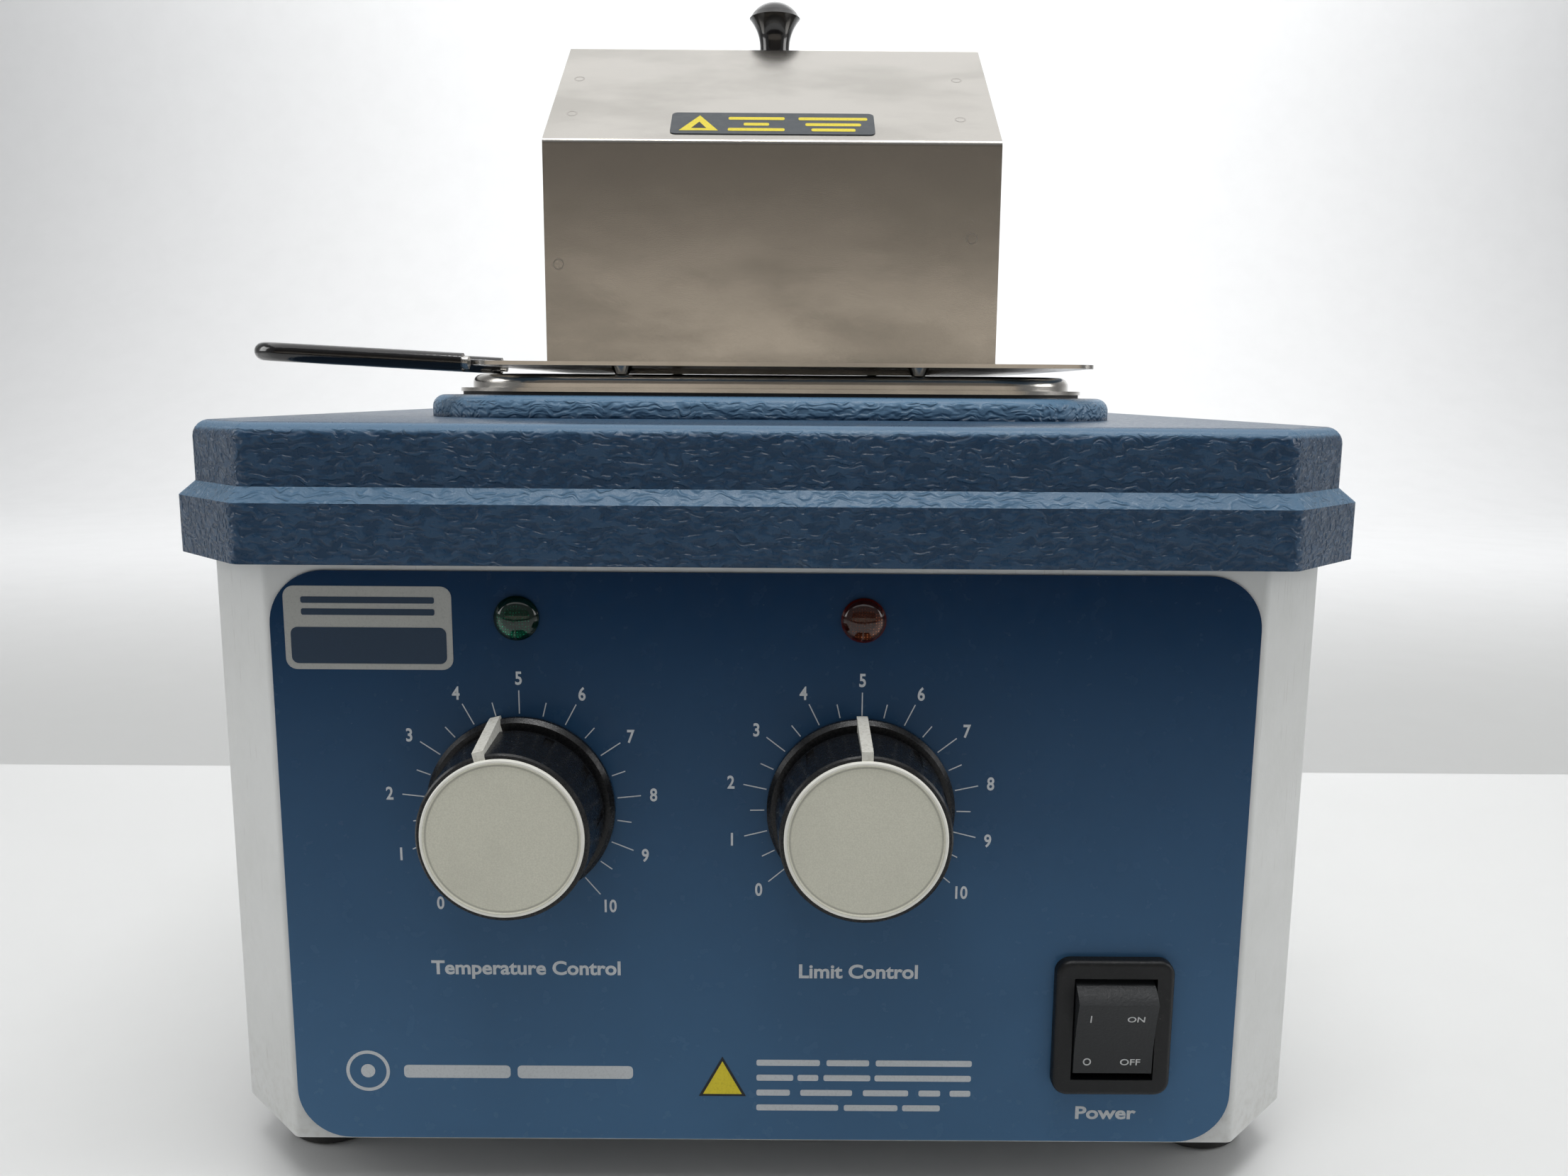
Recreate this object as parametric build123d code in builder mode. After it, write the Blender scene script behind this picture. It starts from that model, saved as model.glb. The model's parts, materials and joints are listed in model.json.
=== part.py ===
"""Small benchtop heating bath: a drawn steel well in a sheet-metal case with a moulded top,
two capillary thermostats, a rocker switch, a lift-out cover plate and a gabled cover.

Frame: X to the right, Y to the back, Z up, millimetres.  The origin is the centre of the
object's footprint, on the surface that it stands on.  The front panel faces -Y.
"""

import os
from math import asin, cos, radians, sin, sqrt

from build123d import *

os.makedirs("parts", exist_ok=True)

# ---------------------------------------------------------------- driving dimensions
# Case
body_width = 234.0
body_depth = 262.0
body_height = 124.3          # bottom edge of the sheet to the lower edge of the moulded top
body_corner_cut = 17.2
body_bend = 2.5               # outside radius of the bends in the case
sheet = 1.0
lap = 8.0                    # height of the case that reaches up inside the moulded top
foot_height = 11.5
foot_diameter = 22.0
foot_inset_x = 17.0
foot_inset_y = 25.0
pan_flange = 10.0
pan_clearance = 0.2
pan_lift = 0.5               # the pan's floor sits this far above the case's bottom edge

# Moulded top
side_overhang = 5.75
end_overhang = 5.0
top_wall = 4.0
band_height = 11.9
shoulder_height = 3.0
upper_height = 12.5
band_corner_cut = 19.5
upper_corner_cut = 16.2
top_corner_radius = 4.0      # rounds each corner of the octagonal plan
upper_side_step = 4.05
upper_end_step = 2.5
top_edge_radius = 3.4
boss_margin = 6.0            # boss beyond the flange of the rim
boss_height = 5.2
boss_edge_radius = 3.0
boss_corner_radius = 30.0

# Well
well_width = 140.0
well_depth = 150.0
well_height = 111.4          # floor to crest of the rim
well_wall = 0.9
well_corner_radius = 20.0
well_floor_radius = 8.0
well_clearance = 1.5
rim_flange = 7.1             # flange beyond the wall of the well
rim_bead = 4.1               # width of the raised bead beyond the wall of the well
rim_height = 5.0             # crest above the moulded boss
rim_edge_radius = 2.2
gasket = 0.8

# Controls
dial_height = 74.1           # above the bottom edge of the case
dial_left_x = -49.6
dial_right_x = 19.4
pilot_above_dial = 39.2
knob_height = 19.0           # front of the cap above the panel
cap_radius = 15.65
cap_thickness = 0.7
knob_body_front_margin = 0.95   # body beyond the cap, at the front
knob_body_back_margin = 1.65
knob_skirt_margin = 3.45
dial_left_setting = 14.0     # pointer angle at rest, to the left of upright, in degrees
dial_right_setting = 0.0
shaft_radius = 3.0
running_clearance = 0.05
pilot_radius = 4.5
switch_x = 72.8
switch_above_edge = 27.4
bezel_border = 3.7
rocker_width = 16.4
rocker_radius = 10.9
rocker_rest_angle = 10.0
overlay_thickness = 0.4

# Cover plate and gabled cover
plate_thickness = 0.9
plate_spacer = 1.9           # height of the dimples that hold the plate off the rim
window_side_margin = 6.8     # cover beyond the window under it
window_end_margin = 6.6
handle_reach = 52.3
handle_span = 40.0
rod_diameter = 3.0
grip_diameter = 4.3
handle_rise = 2.4            # the handle's free end above its root
cover_width = 113.6
cover_depth = 111.2
cover_wall_height = 54.5
cover_rise = 33.15
cover_top_flat = 19.4
cover_sheet = 0.8
cover_knob_height = 15.2

# Heater and control gear
heater_side_margin = 15.0    # inside the walls of the well
heater_front_margin = 43.0   # leaves room for the sensing bulbs
heater_back_margin = 19.0
heater_thickness = 3.0
insulation = 12.0
base_insulation_height = 16.0
stud_radius = 2.5
bulb_radius = 3.0
bulb_length = 70.0
capillary_radius = 1.0
wire_radius = 1.1
inlet_x = 70.0
inlet_above_edge = 34.0

# ---------------------------------------------------------------- worked-out places
panel_y = -(knob_height + body_depth + end_overhang) / 2 + knob_height
body_y = panel_y + body_depth / 2
back_y = panel_y + body_depth
edge_z = foot_height
case_top_z = edge_z + body_height
band_top_z = case_top_z + band_height
shoulder_top_z = band_top_z + shoulder_height
deck_z = shoulder_top_z + upper_height
boss_z = deck_z + boss_height
crest_z = boss_z + rim_height
well_floor_z = crest_z - well_height
plate_z = crest_z + plate_spacer
cover_z = plate_z + plate_thickness
eave_z = cover_z + cover_wall_height
ridge_z = eave_z + cover_rise
dial_z = edge_z + dial_height
pilot_z = dial_z + pilot_above_dial
switch_z = edge_z + switch_above_edge
inlet_z = edge_z + inlet_above_edge
pan_z = edge_z + pan_lift
pan_top_z = pan_z + sheet
well_outer_width = well_width + 2 * well_wall
well_outer_depth = well_depth + 2 * well_wall
well_outer_radius = well_corner_radius + well_wall
well_bottom_z = well_floor_z - well_wall
well_front_y = body_y - well_outer_depth / 2
rim_flange_width = well_outer_width + 2 * rim_flange
rim_flange_depth = well_outer_depth + 2 * rim_flange
bead_width = well_outer_width + 2 * rim_bead
bead_depth = well_outer_depth + 2 * rim_bead
boss_width = rim_flange_width + 2 * boss_margin
boss_depth = rim_flange_depth + 2 * boss_margin
plate_left = well_width / 2
plate_right = bead_width / 2 + 1
plate_depth = rim_flange_depth + 2
window_width = cover_width - 2 * window_side_margin
window_depth = cover_depth - 2 * window_end_margin
heater_width = well_width - 2 * heater_side_margin
heater_depth = well_depth - heater_front_margin - heater_back_margin
heater_y = body_y + (heater_front_margin - heater_back_margin) / 2
opening_side_gap = 0.4
opening_width = rocker_width + 2 * opening_side_gap
opening_length = 2 * (rocker_radius + opening_side_gap)
switch_width = opening_width + 2 * bezel_border
switch_length = opening_length + 2 * bezel_border
knob_body_front_radius = cap_radius + knob_body_front_margin
knob_body_back_radius = cap_radius + knob_body_back_margin
knob_skirt_radius = cap_radius + knob_skirt_margin


def save(piece, name):
    """Label a finished piece and write it under its own name."""
    piece.part.label = name
    export_step(piece.part, f"parts/{name}.step")


def panel_plane(x, z, out=0.0):
    """Plane on the front panel, its normal pointing out at the user."""
    return Plane(origin=(x, panel_y - out, z), x_dir=(1, 0, 0), z_dir=(0, -1, 0))


def back_plane(x, z, out=0.0):
    """Plane on the rear panel, its normal pointing out behind the case."""
    return Plane(origin=(x, back_y + out, z), x_dir=(-1, 0, 0), z_dir=(0, 1, 0))


def corner_spots(inset_x, inset_y):
    """The four places that lie inset from the corners of the case."""
    half_x = body_width / 2 - inset_x
    half_y = body_depth / 2 - inset_y
    return [(sx * half_x, body_y + sy * half_y) for sx in (-1, 1) for sy in (-1, 1)]


# ---------------------------------------------------------------- case
bushing_radius = 4.75
bushing_hole = bushing_radius + 0.25
pilot_shank_radius = 3.9
pilot_hole = pilot_shank_radius + 0.1
switch_cutout_width = switch_width - 2.6
switch_cutout_length = switch_length - 2.6
inlet_cutout_width = 27.6
inlet_cutout_height = 20.4
inlet_screw_pitch = 40.0
inlet_screw_radius = 1.6
pan_screw_radius = 1.6
pan_screw_z = pan_z + 6.0
pan_screw_spread = 80.0
vent_width = 3.0
vent_length = 26.0
vent_pitch = 9.0

with BuildPart() as case_shell:
    with BuildSketch(Plane.XY.offset(edge_z)):
        with Locations((0, body_y)):
            Rectangle(body_width, body_depth)
            chamfer(vertices(), body_corner_cut)
            fillet(vertices(), body_bend)
    extrude(amount=body_height + lap)
    with BuildSketch(Plane.XY.offset(edge_z)):
        with Locations((0, body_y)):
            Rectangle(body_width - 2 * sheet, body_depth - 2 * sheet)
            chamfer(vertices(), body_corner_cut - sheet * (2 - sqrt(2)))
            fillet(vertices(), body_bend - sheet)
    extrude(amount=body_height + lap, mode=Mode.SUBTRACT)
    for x in (dial_left_x, dial_right_x):
        with BuildSketch(panel_plane(x, dial_z)):
            Circle(bushing_hole)
            with Locations((0, pilot_above_dial)):
                Circle(pilot_hole)
        extrude(amount=-2 * sheet, mode=Mode.SUBTRACT)
    with BuildSketch(panel_plane(switch_x, switch_z)):
        Rectangle(switch_cutout_width, switch_cutout_length)
    extrude(amount=-2 * sheet, mode=Mode.SUBTRACT)
    with BuildSketch(back_plane(inlet_x, inlet_z)):
        Rectangle(inlet_cutout_width, inlet_cutout_height)
        with GridLocations(inlet_screw_pitch, 0, 2, 1):
            Circle(inlet_screw_radius)
    extrude(amount=-2 * sheet, mode=Mode.SUBTRACT)
    with BuildSketch(back_plane(-inlet_x / 2, edge_z + body_height - vent_length)):
        with GridLocations(vent_pitch, 0, 9, 1):
            SlotOverall(vent_length, vent_width, rotation=90)
    extrude(amount=-2 * sheet, mode=Mode.SUBTRACT)
    with BuildSketch(Plane.YZ.offset(-body_width)):
        with Locations((body_y, pan_screw_z)):
            with GridLocations(2 * pan_screw_spread, 0, 2, 1):
                Circle(pan_screw_radius)
    extrude(amount=2 * body_width, mode=Mode.SUBTRACT)
save(case_shell, "case_shell")

overlay_side_margin = 1.0
overlay_bottom_margin = 0.4
overlay_top_margin = 1.7
overlay_corner_radius = 11.0
overlay_width = body_width - 2 * body_corner_cut - 2 * overlay_side_margin
overlay_height = body_height - overlay_bottom_margin - overlay_top_margin
overlay_z = edge_z + overlay_bottom_margin + overlay_height / 2

with BuildPart() as front_overlay:
    with BuildSketch(panel_plane(0, overlay_z)):
        RectangleRounded(overlay_width, overlay_height, overlay_corner_radius)
        with Locations((switch_x, switch_z - overlay_z)):
            Rectangle(switch_cutout_width, switch_cutout_length, mode=Mode.SUBTRACT)
        for x in (dial_left_x, dial_right_x):
            with Locations((x, dial_z - overlay_z)):
                Circle(bushing_hole, mode=Mode.SUBTRACT)
            with Locations((x, pilot_z - overlay_z)):
                Circle(pilot_hole, mode=Mode.SUBTRACT)
    extrude(amount=overlay_thickness)
save(front_overlay, "front_overlay")

pan_width = body_width - 2 * (sheet + pan_clearance)
pan_depth = body_depth - 2 * (sheet + pan_clearance)
pan_cut = body_corner_cut - (sheet + pan_clearance) * (2 - sqrt(2))
foot_screw_radius = 2.0

with BuildPart() as base_pan:
    with BuildSketch(Plane.XY.offset(pan_z)):
        with Locations((0, body_y)):
            Rectangle(pan_width, pan_depth)
            chamfer(vertices(), pan_cut)
    extrude(amount=pan_flange)
    with BuildSketch(Plane.XY.offset(pan_top_z)):
        with Locations((0, body_y)):
            Rectangle(pan_width - 2 * sheet, pan_depth - 2 * sheet)
            chamfer(vertices(), pan_cut - sheet * (2 - sqrt(2)))
    extrude(amount=pan_flange, mode=Mode.SUBTRACT)
    with BuildSketch(Plane.XY.offset(pan_z)):
        with Locations(*corner_spots(foot_inset_x, foot_inset_y)):
            Circle(foot_screw_radius)
        with Locations((0, body_y - 98), (0, body_y + 98)):
            with GridLocations(vent_pitch, 0, 9, 1):
                SlotOverall(vent_length, vent_width, rotation=90)
    extrude(amount=2 * sheet, mode=Mode.SUBTRACT)
    with BuildSketch(Plane.YZ.offset(-body_width)):
        with Locations((body_y, pan_screw_z)):
            with GridLocations(2 * pan_screw_spread, 0, 2, 1):
                Circle(pan_screw_radius)
    extrude(amount=2 * body_width, mode=Mode.SUBTRACT)
save(base_pan, "base_pan")

pan_screw_head = 3.2
with BuildPart() as pan_screws:
    for side in (-1, 1):
        wall = Plane(
            origin=(side * body_width / 2, body_y, pan_screw_z), x_dir=(0, side, 0), z_dir=(side, 0, 0)
        )
        with BuildSketch(wall):
            with GridLocations(2 * pan_screw_spread, 0, 2, 1):
                Circle(pan_screw_head)
        extrude(amount=1.8)
        with BuildSketch(wall):
            with GridLocations(2 * pan_screw_spread, 0, 2, 1):
                Circle(pan_screw_radius)
        extrude(amount=-6)
save(pan_screws, "pan_screws")

# ---------------------------------------------------------------- feet
foot_spots = corner_spots(foot_inset_x, foot_inset_y)
foot_full_height = pan_z
foot_recess_radius = 5.0
foot_recess = 6.0

with BuildPart() as rubber_feet:
    with BuildSketch(Plane.XY):
        with Locations(*foot_spots):
            Circle(foot_diameter / 2)
    extrude(amount=foot_full_height)
    fillet(edges().group_by(Axis.Z)[0], 1.5)
    with BuildSketch(Plane.XY):
        with Locations(*foot_spots):
            Circle(foot_recess_radius)
    extrude(amount=foot_recess, mode=Mode.SUBTRACT)
    with BuildSketch(Plane.XY):
        with Locations(*foot_spots):
            Circle(foot_screw_radius)
    extrude(amount=foot_full_height, mode=Mode.SUBTRACT)
save(rubber_feet, "rubber_feet")

nut_height = 3.2
with BuildPart() as foot_screws:
    with BuildSketch(Plane.XY.offset(foot_recess - 2.4)):
        with Locations(*foot_spots):
            Circle(3.8)
    extrude(amount=2.4)
    with BuildSketch(Plane.XY.offset(foot_recess)):
        with Locations(*foot_spots):
            Circle(foot_screw_radius)
    extrude(amount=pan_top_z + nut_height + 1.5 - foot_recess)
save(foot_screws, "foot_screws")

with BuildPart() as foot_nuts:
    with BuildSketch(Plane.XY.offset(pan_top_z)):
        with Locations(*foot_spots):
            RegularPolygon(3.5, 6, major_radius=False)
            Circle(foot_screw_radius, mode=Mode.SUBTRACT)
    extrude(amount=nut_height)
save(foot_nuts, "foot_nuts")

# ---------------------------------------------------------------- moulded top
band_width = body_width + 2 * side_overhang
band_depth = body_depth + 2 * end_overhang
upper_width = band_width - 2 * upper_side_step
upper_depth = band_depth - 2 * upper_end_step
inner_cut = top_wall * (2 - sqrt(2))
post_radius = 5.0
post_inset_x = 17.0
post_inset_y = 34.0
post_spots = corner_spots(post_inset_x, post_inset_y)
post_bottom_z = case_top_z + lap
housing_screw_radius = 1.75

with BuildPart() as moulded_top:
    with BuildSketch(Plane.XY.offset(case_top_z)):
        with Locations((0, body_y)):
            Rectangle(band_width, band_depth)
            chamfer(vertices(), band_corner_cut)
            fillet(vertices(), top_corner_radius)
    extrude(amount=band_height)
    with BuildSketch(Plane.XY.offset(band_top_z)):
        with Locations((0, body_y)):
            Rectangle(band_width, band_depth)
            chamfer(vertices(), band_corner_cut)
            fillet(vertices(), top_corner_radius)
    with BuildSketch(Plane.XY.offset(shoulder_top_z)):
        with Locations((0, body_y)):
            Rectangle(upper_width, upper_depth)
            chamfer(vertices(), upper_corner_cut)
            fillet(vertices(), top_corner_radius)
    loft()
    with BuildSketch(Plane.XY.offset(shoulder_top_z)):
        with Locations((0, body_y)):
            Rectangle(upper_width, upper_depth)
            chamfer(vertices(), upper_corner_cut)
            fillet(vertices(), top_corner_radius)
    extrude(amount=upper_height)
    fillet(faces().sort_by(Axis.Z)[-1].edges(), top_edge_radius)
    with BuildSketch(Plane.XY.offset(deck_z)):
        with Locations((0, body_y)):
            RectangleRounded(boss_width, boss_depth, boss_corner_radius)
    extrude(amount=boss_height)
    fillet(faces().sort_by(Axis.Z)[-1].edges(), boss_edge_radius)
    with BuildSketch(Plane.XY.offset(case_top_z)):
        with Locations((0, body_y)):
            Rectangle(band_width - 2 * top_wall, band_depth - 2 * top_wall)
            chamfer(vertices(), band_corner_cut - inner_cut)
    extrude(amount=band_height - 1, mode=Mode.SUBTRACT)
    with BuildSketch(Plane.XY.offset(case_top_z)):
        with Locations((0, body_y)):
            Rectangle(upper_width - 2 * top_wall, upper_depth - 2 * top_wall)
            chamfer(vertices(), upper_corner_cut - inner_cut)
    extrude(amount=deck_z - top_wall - case_top_z, mode=Mode.SUBTRACT)
    with BuildSketch(Plane.XY.offset(post_bottom_z)):
        with Locations(*post_spots):
            Circle(post_radius)
    extrude(amount=deck_z - top_wall - post_bottom_z)
    with BuildSketch(Plane.XY.offset(post_bottom_z)):
        with Locations(*post_spots):
            Circle(housing_screw_radius)
    extrude(amount=10, mode=Mode.SUBTRACT)
    with BuildSketch(Plane.XY.offset(case_top_z)):
        with Locations((0, body_y)):
            RectangleRounded(
                well_outer_width + 2 * well_clearance,
                well_outer_depth + 2 * well_clearance,
                well_outer_radius + well_clearance,
            )
    extrude(amount=boss_z - case_top_z, mode=Mode.SUBTRACT)
save(moulded_top, "moulded_top")

bracket_thickness = 1.5
bracket_length = 16.0
bracket_reach = post_inset_x - sheet + post_radius
with BuildPart() as top_brackets:
    for x, y in post_spots:
        side = 1 if x > 0 else -1
        wall_x = side * (body_width / 2 - sheet)
        with BuildSketch(Plane.XY.offset(post_bottom_z - bracket_thickness)):
            with Locations((wall_x - side * bracket_reach / 2, y)):
                Rectangle(bracket_reach, bracket_length)
            with Locations((x, y)):
                Circle(housing_screw_radius + 0.3, mode=Mode.SUBTRACT)
        extrude(amount=bracket_thickness)
        with BuildSketch(Plane.XY.offset(post_bottom_z - 20)):
            with Locations((wall_x - side * bracket_thickness / 2, y)):
                Rectangle(bracket_thickness, bracket_length)
        extrude(amount=20 - bracket_thickness)
save(top_brackets, "top_brackets")

with BuildPart() as top_screws:
    with BuildSketch(Plane.XY.offset(post_bottom_z - bracket_thickness)):
        with Locations(*post_spots):
            Circle(3.2)
    extrude(amount=-2.2)
    with BuildSketch(Plane.XY.offset(post_bottom_z - bracket_thickness)):
        with Locations(*post_spots):
            Circle(housing_screw_radius)
    extrude(amount=9)
save(top_screws, "top_screws")

# ---------------------------------------------------------------- well and its heater
flange_z = boss_z + gasket

with BuildPart() as steel_well:
    with BuildSketch(Plane.XY.offset(well_bottom_z)):
        with Locations((0, body_y)):
            RectangleRounded(well_outer_width, well_outer_depth, well_outer_radius)
    extrude(amount=crest_z - well_bottom_z)
    fillet(faces().sort_by(Axis.Z)[0].edges(), well_floor_radius + well_wall)
    with BuildSketch(Plane.XY.offset(flange_z)):
        with Locations((0, body_y)):
            RectangleRounded(rim_flange_width, rim_flange_depth, well_outer_radius + rim_flange)
    extrude(amount=well_wall)
    with BuildSketch(Plane.XY.offset(flange_z)):
        with Locations((0, body_y)):
            RectangleRounded(bead_width, bead_depth, well_outer_radius + rim_bead)
    extrude(amount=crest_z - flange_z)
    fillet(faces().sort_by(Axis.Z)[-1].edges(), rim_edge_radius)
    with BuildPart(mode=Mode.PRIVATE) as well_space:
        with BuildSketch(Plane.XY.offset(well_floor_z)):
            with Locations((0, body_y)):
                RectangleRounded(well_width, well_depth, well_corner_radius)
        extrude(amount=well_height + 1)
        fillet(faces().sort_by(Axis.Z)[0].edges(), well_floor_radius)
    add(well_space.part, mode=Mode.SUBTRACT)
save(steel_well, "steel_well")

with BuildPart() as rim_gasket:
    with BuildSketch(Plane.XY.offset(boss_z)):
        with Locations((0, body_y)):
            RectangleRounded(
                rim_flange_width - 1, rim_flange_depth - 1, well_outer_radius + rim_flange - 0.5
            )
            RectangleRounded(
                well_outer_width + 2 * well_clearance,
                well_outer_depth + 2 * well_clearance,
                well_outer_radius + well_clearance,
                mode=Mode.SUBTRACT,
            )
    extrude(amount=gasket)
save(rim_gasket, "rim_gasket")

heater_z = well_bottom_z - heater_thickness
clamp_thickness = 2.0
clamp_z = heater_z - clamp_thickness
stud_inset = 10.0             # studs inside the edge of the heater
stud_pitch_x = heater_width - 2 * stud_inset
stud_pitch_y = heater_depth - 2 * stud_inset
stud_drop = 12.0
stud_hole = stud_radius + 0.3


def stud_locations():
    """The four studs that hold the heater, about its centre."""
    return [
        (sx * stud_pitch_x / 2, heater_y + sy * stud_pitch_y / 2) for sx in (-1, 1) for sy in (-1, 1)
    ]


with BuildPart() as heater_element:
    with BuildSketch(Plane.XY.offset(heater_z)):
        with Locations((0, heater_y)):
            RectangleRounded(heater_width, heater_depth, 6)
        with Locations(*stud_locations()):
            Circle(stud_hole, mode=Mode.SUBTRACT)
    extrude(amount=heater_thickness)
save(heater_element, "heater_element")

with BuildPart() as heater_clamp:
    with BuildSketch(Plane.XY.offset(clamp_z)):
        with Locations((0, heater_y)):
            RectangleRounded(heater_width, heater_depth, 6)
        with Locations(*stud_locations()):
            Circle(stud_hole, mode=Mode.SUBTRACT)
    extrude(amount=clamp_thickness)
save(heater_clamp, "heater_clamp")

with BuildPart() as heater_studs:
    with BuildSketch(Plane.XY.offset(well_bottom_z - stud_drop)):
        with Locations(*stud_locations()):
            Circle(stud_radius)
    extrude(amount=stud_drop)
save(heater_studs, "heater_studs")

with BuildPart() as heater_nuts:
    with BuildSketch(Plane.XY.offset(clamp_z - 4)):
        with Locations(*stud_locations()):
            RegularPolygon(4, 6, major_radius=False)
            Circle(stud_radius, mode=Mode.SUBTRACT)
    extrude(amount=4)
save(heater_nuts, "heater_nuts")

wrap_bottom_z = well_bottom_z + 2
wrap_top_z = deck_z - top_wall - 2
with BuildPart() as well_insulation:
    with BuildSketch(Plane.XY.offset(wrap_bottom_z)):
        with Locations((0, body_y)):
            RectangleRounded(
                well_outer_width + 2 * insulation,
                well_outer_depth + 2 * insulation,
                well_outer_radius + insulation,
            )
            RectangleRounded(
                well_outer_width + 0.2,
                well_outer_depth + 0.2,
                well_outer_radius + 0.1,
                mode=Mode.SUBTRACT,
            )
    extrude(amount=wrap_top_z - wrap_bottom_z)
save(well_insulation, "well_insulation")

with BuildPart() as base_insulation:
    with BuildSketch(Plane.XY.offset(pan_top_z)):
        with Locations((0, body_y)):
            RectangleRounded(well_width, well_depth, 8)
    extrude(amount=base_insulation_height)
save(base_insulation, "base_insulation")

# ---------------------------------------------------------------- thermostats
stat_width = 40.0
stat_height = 34.0
stat_depth = 26.0
stat_plate = 1.5
stat_front_y = panel_y + sheet
bushing_reach = 3.0          # bushing in front of the panel
shaft_depth = 16.0


def thermostat(x):
    """Capillary thermostat: threaded bushing, mounting plate and case behind the panel."""
    with BuildPart() as stat:
        with BuildSketch(panel_plane(x, dial_z, -sheet)):
            Rectangle(stat_width + 8, stat_height)
        extrude(amount=-stat_plate)
        with BuildSketch(panel_plane(x, dial_z, -sheet - stat_plate)):
            RectangleRounded(stat_width, stat_height, 3)
        extrude(amount=-stat_depth)
        with BuildSketch(panel_plane(x, dial_z, -sheet)):
            Circle(bushing_radius)
        extrude(amount=sheet + bushing_reach)
        with BuildSketch(panel_plane(x, dial_z, bushing_reach)):
            Circle(shaft_radius + running_clearance)
        extrude(amount=-bushing_reach - shaft_depth, mode=Mode.SUBTRACT)
        with BuildSketch(panel_plane(x, dial_z, -sheet - stat_plate - stat_depth)):
            with GridLocations(18, 12, 2, 2):
                Rectangle(6.3, 0.8)
        extrude(amount=-7)
    return stat


temperature_thermostat = thermostat(dial_left_x)
save(temperature_thermostat, "temperature_thermostat")
limit_thermostat = thermostat(dial_right_x)
save(limit_thermostat, "limit_thermostat")

with BuildPart() as bushing_nuts:
    for x in (dial_left_x, dial_right_x):
        with BuildSketch(panel_plane(x, dial_z, overlay_thickness)):
            RegularPolygon(6.5, 6, major_radius=False)
            Circle(bushing_radius, mode=Mode.SUBTRACT)
        extrude(amount=2)
save(bushing_nuts, "bushing_nuts")

bulb_z = well_bottom_z - bulb_radius
bulb_flat_y = well_front_y + well_floor_radius + well_wall
temperature_bulb_y = bulb_flat_y + bulb_radius + 1.5
limit_bulb_y = temperature_bulb_y + 2 * bulb_radius + 4
bulb_x = -bulb_length / 2

with BuildPart() as sensing_bulbs:
    for y in (temperature_bulb_y, limit_bulb_y):
        with BuildSketch(Plane.YZ.offset(bulb_x)):
            with Locations((y, bulb_z)):
                Circle(bulb_radius)
        extrude(amount=bulb_length)
save(sensing_bulbs, "sensing_bulbs")

clip_gap = 0.1
clip_sheet = 0.8
clip_width = 8.0
clip_length = limit_bulb_y - temperature_bulb_y + 2 * (bulb_radius + clip_gap + clip_sheet)
clip_drop = 2 * bulb_radius + clip_gap + clip_sheet
clip_y = (temperature_bulb_y + limit_bulb_y) / 2

with BuildPart() as bulb_clips:
    for x in (-20, 20):
        with BuildSketch(Plane.YZ.offset(x)):
            with Locations((clip_y, well_bottom_z - clip_drop / 2)):
                Rectangle(clip_length, clip_drop)
            with Locations((clip_y, well_bottom_z - (clip_drop - clip_sheet) / 2)):
                Rectangle(clip_length - 2 * clip_sheet, clip_drop - clip_sheet, mode=Mode.SUBTRACT)
        extrude(amount=clip_width)
save(bulb_clips, "bulb_clips")

stat_bottom_z = dial_z - stat_height / 2
riser_y = stat_front_y + stat_plate + 12
capillary_bend = 7.0
temperature_route = [
    (bulb_x, temperature_bulb_y, bulb_z),
    (dial_left_x + 4, temperature_bulb_y, bulb_z),
    (dial_left_x + 4, riser_y, bulb_z),
    (dial_left_x + 4, riser_y, stat_bottom_z),
]
limit_route = [
    (bulb_x + bulb_length, limit_bulb_y, bulb_z),
    (bulb_x + bulb_length + 16, limit_bulb_y, bulb_z),
    (bulb_x + bulb_length + 16, riser_y, bulb_z),
    (dial_right_x + 4, riser_y, bulb_z),
    (dial_right_x + 4, riser_y, stat_bottom_z),
]


def tube_along(points, bend, radius):
    """Round solid along straight runs joined by arcs."""
    with BuildPart() as tube:
        with BuildLine() as route:
            FilletPolyline(*points, radius=bend)
        with BuildSketch(Plane(origin=route.line @ 0, z_dir=route.line % 0)):
            Circle(radius)
        sweep(path=route.line)
    return tube.part


with BuildPart() as capillary_tubes:
    add(tube_along(temperature_route, capillary_bend, capillary_radius))
    add(tube_along(limit_route, capillary_bend, capillary_radius))
save(capillary_tubes, "capillary_tubes")

# ---------------------------------------------------------------- knobs
skirt_gap = 0.8              # skirt's back above the panel
skirt_edge = 1.4
skirt_step_radius = knob_skirt_radius - 0.8
skirt_front = skirt_gap + skirt_edge
edge_break = 0.35            # chamfer on the knob's outer edges
recess_radius = 9.0
recess_depth = 4.0
cap_seat = knob_height - cap_thickness
shaft_end = cap_seat - 2.0
cap_dish = 0.25              # face of the cap below its rim
notch_count = 10
notch_start = 38.25          # first and last notch, each side of the pointer
notch_width = 2.0
notch_depth = 0.5
pointer_width = 2.2
pointer_front_radius = knob_body_front_radius + 0.8
pointer_tip_radius = knob_skirt_radius + 0.5


def dial_profile_plane(x):
    """Plane through a dial's axis: its x is the radius, its y runs into the panel."""
    return Plane(origin=(x, panel_y, dial_z), x_dir=(1, 0, 0), z_dir=(0, 0, 1))


def dial_axis(x):
    """Axis of a dial, into the panel."""
    return Axis((x, panel_y, dial_z), (0, 1, 0))


def turned_plane(x, out, turn):
    """Panel plane turned about the dial's axis, so that its y follows the pointer."""
    angle = radians(turn)
    return Plane(
        origin=(x, panel_y - out, dial_z), x_dir=(cos(angle), 0, sin(angle)), z_dir=(0, -1, 0)
    )


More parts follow.
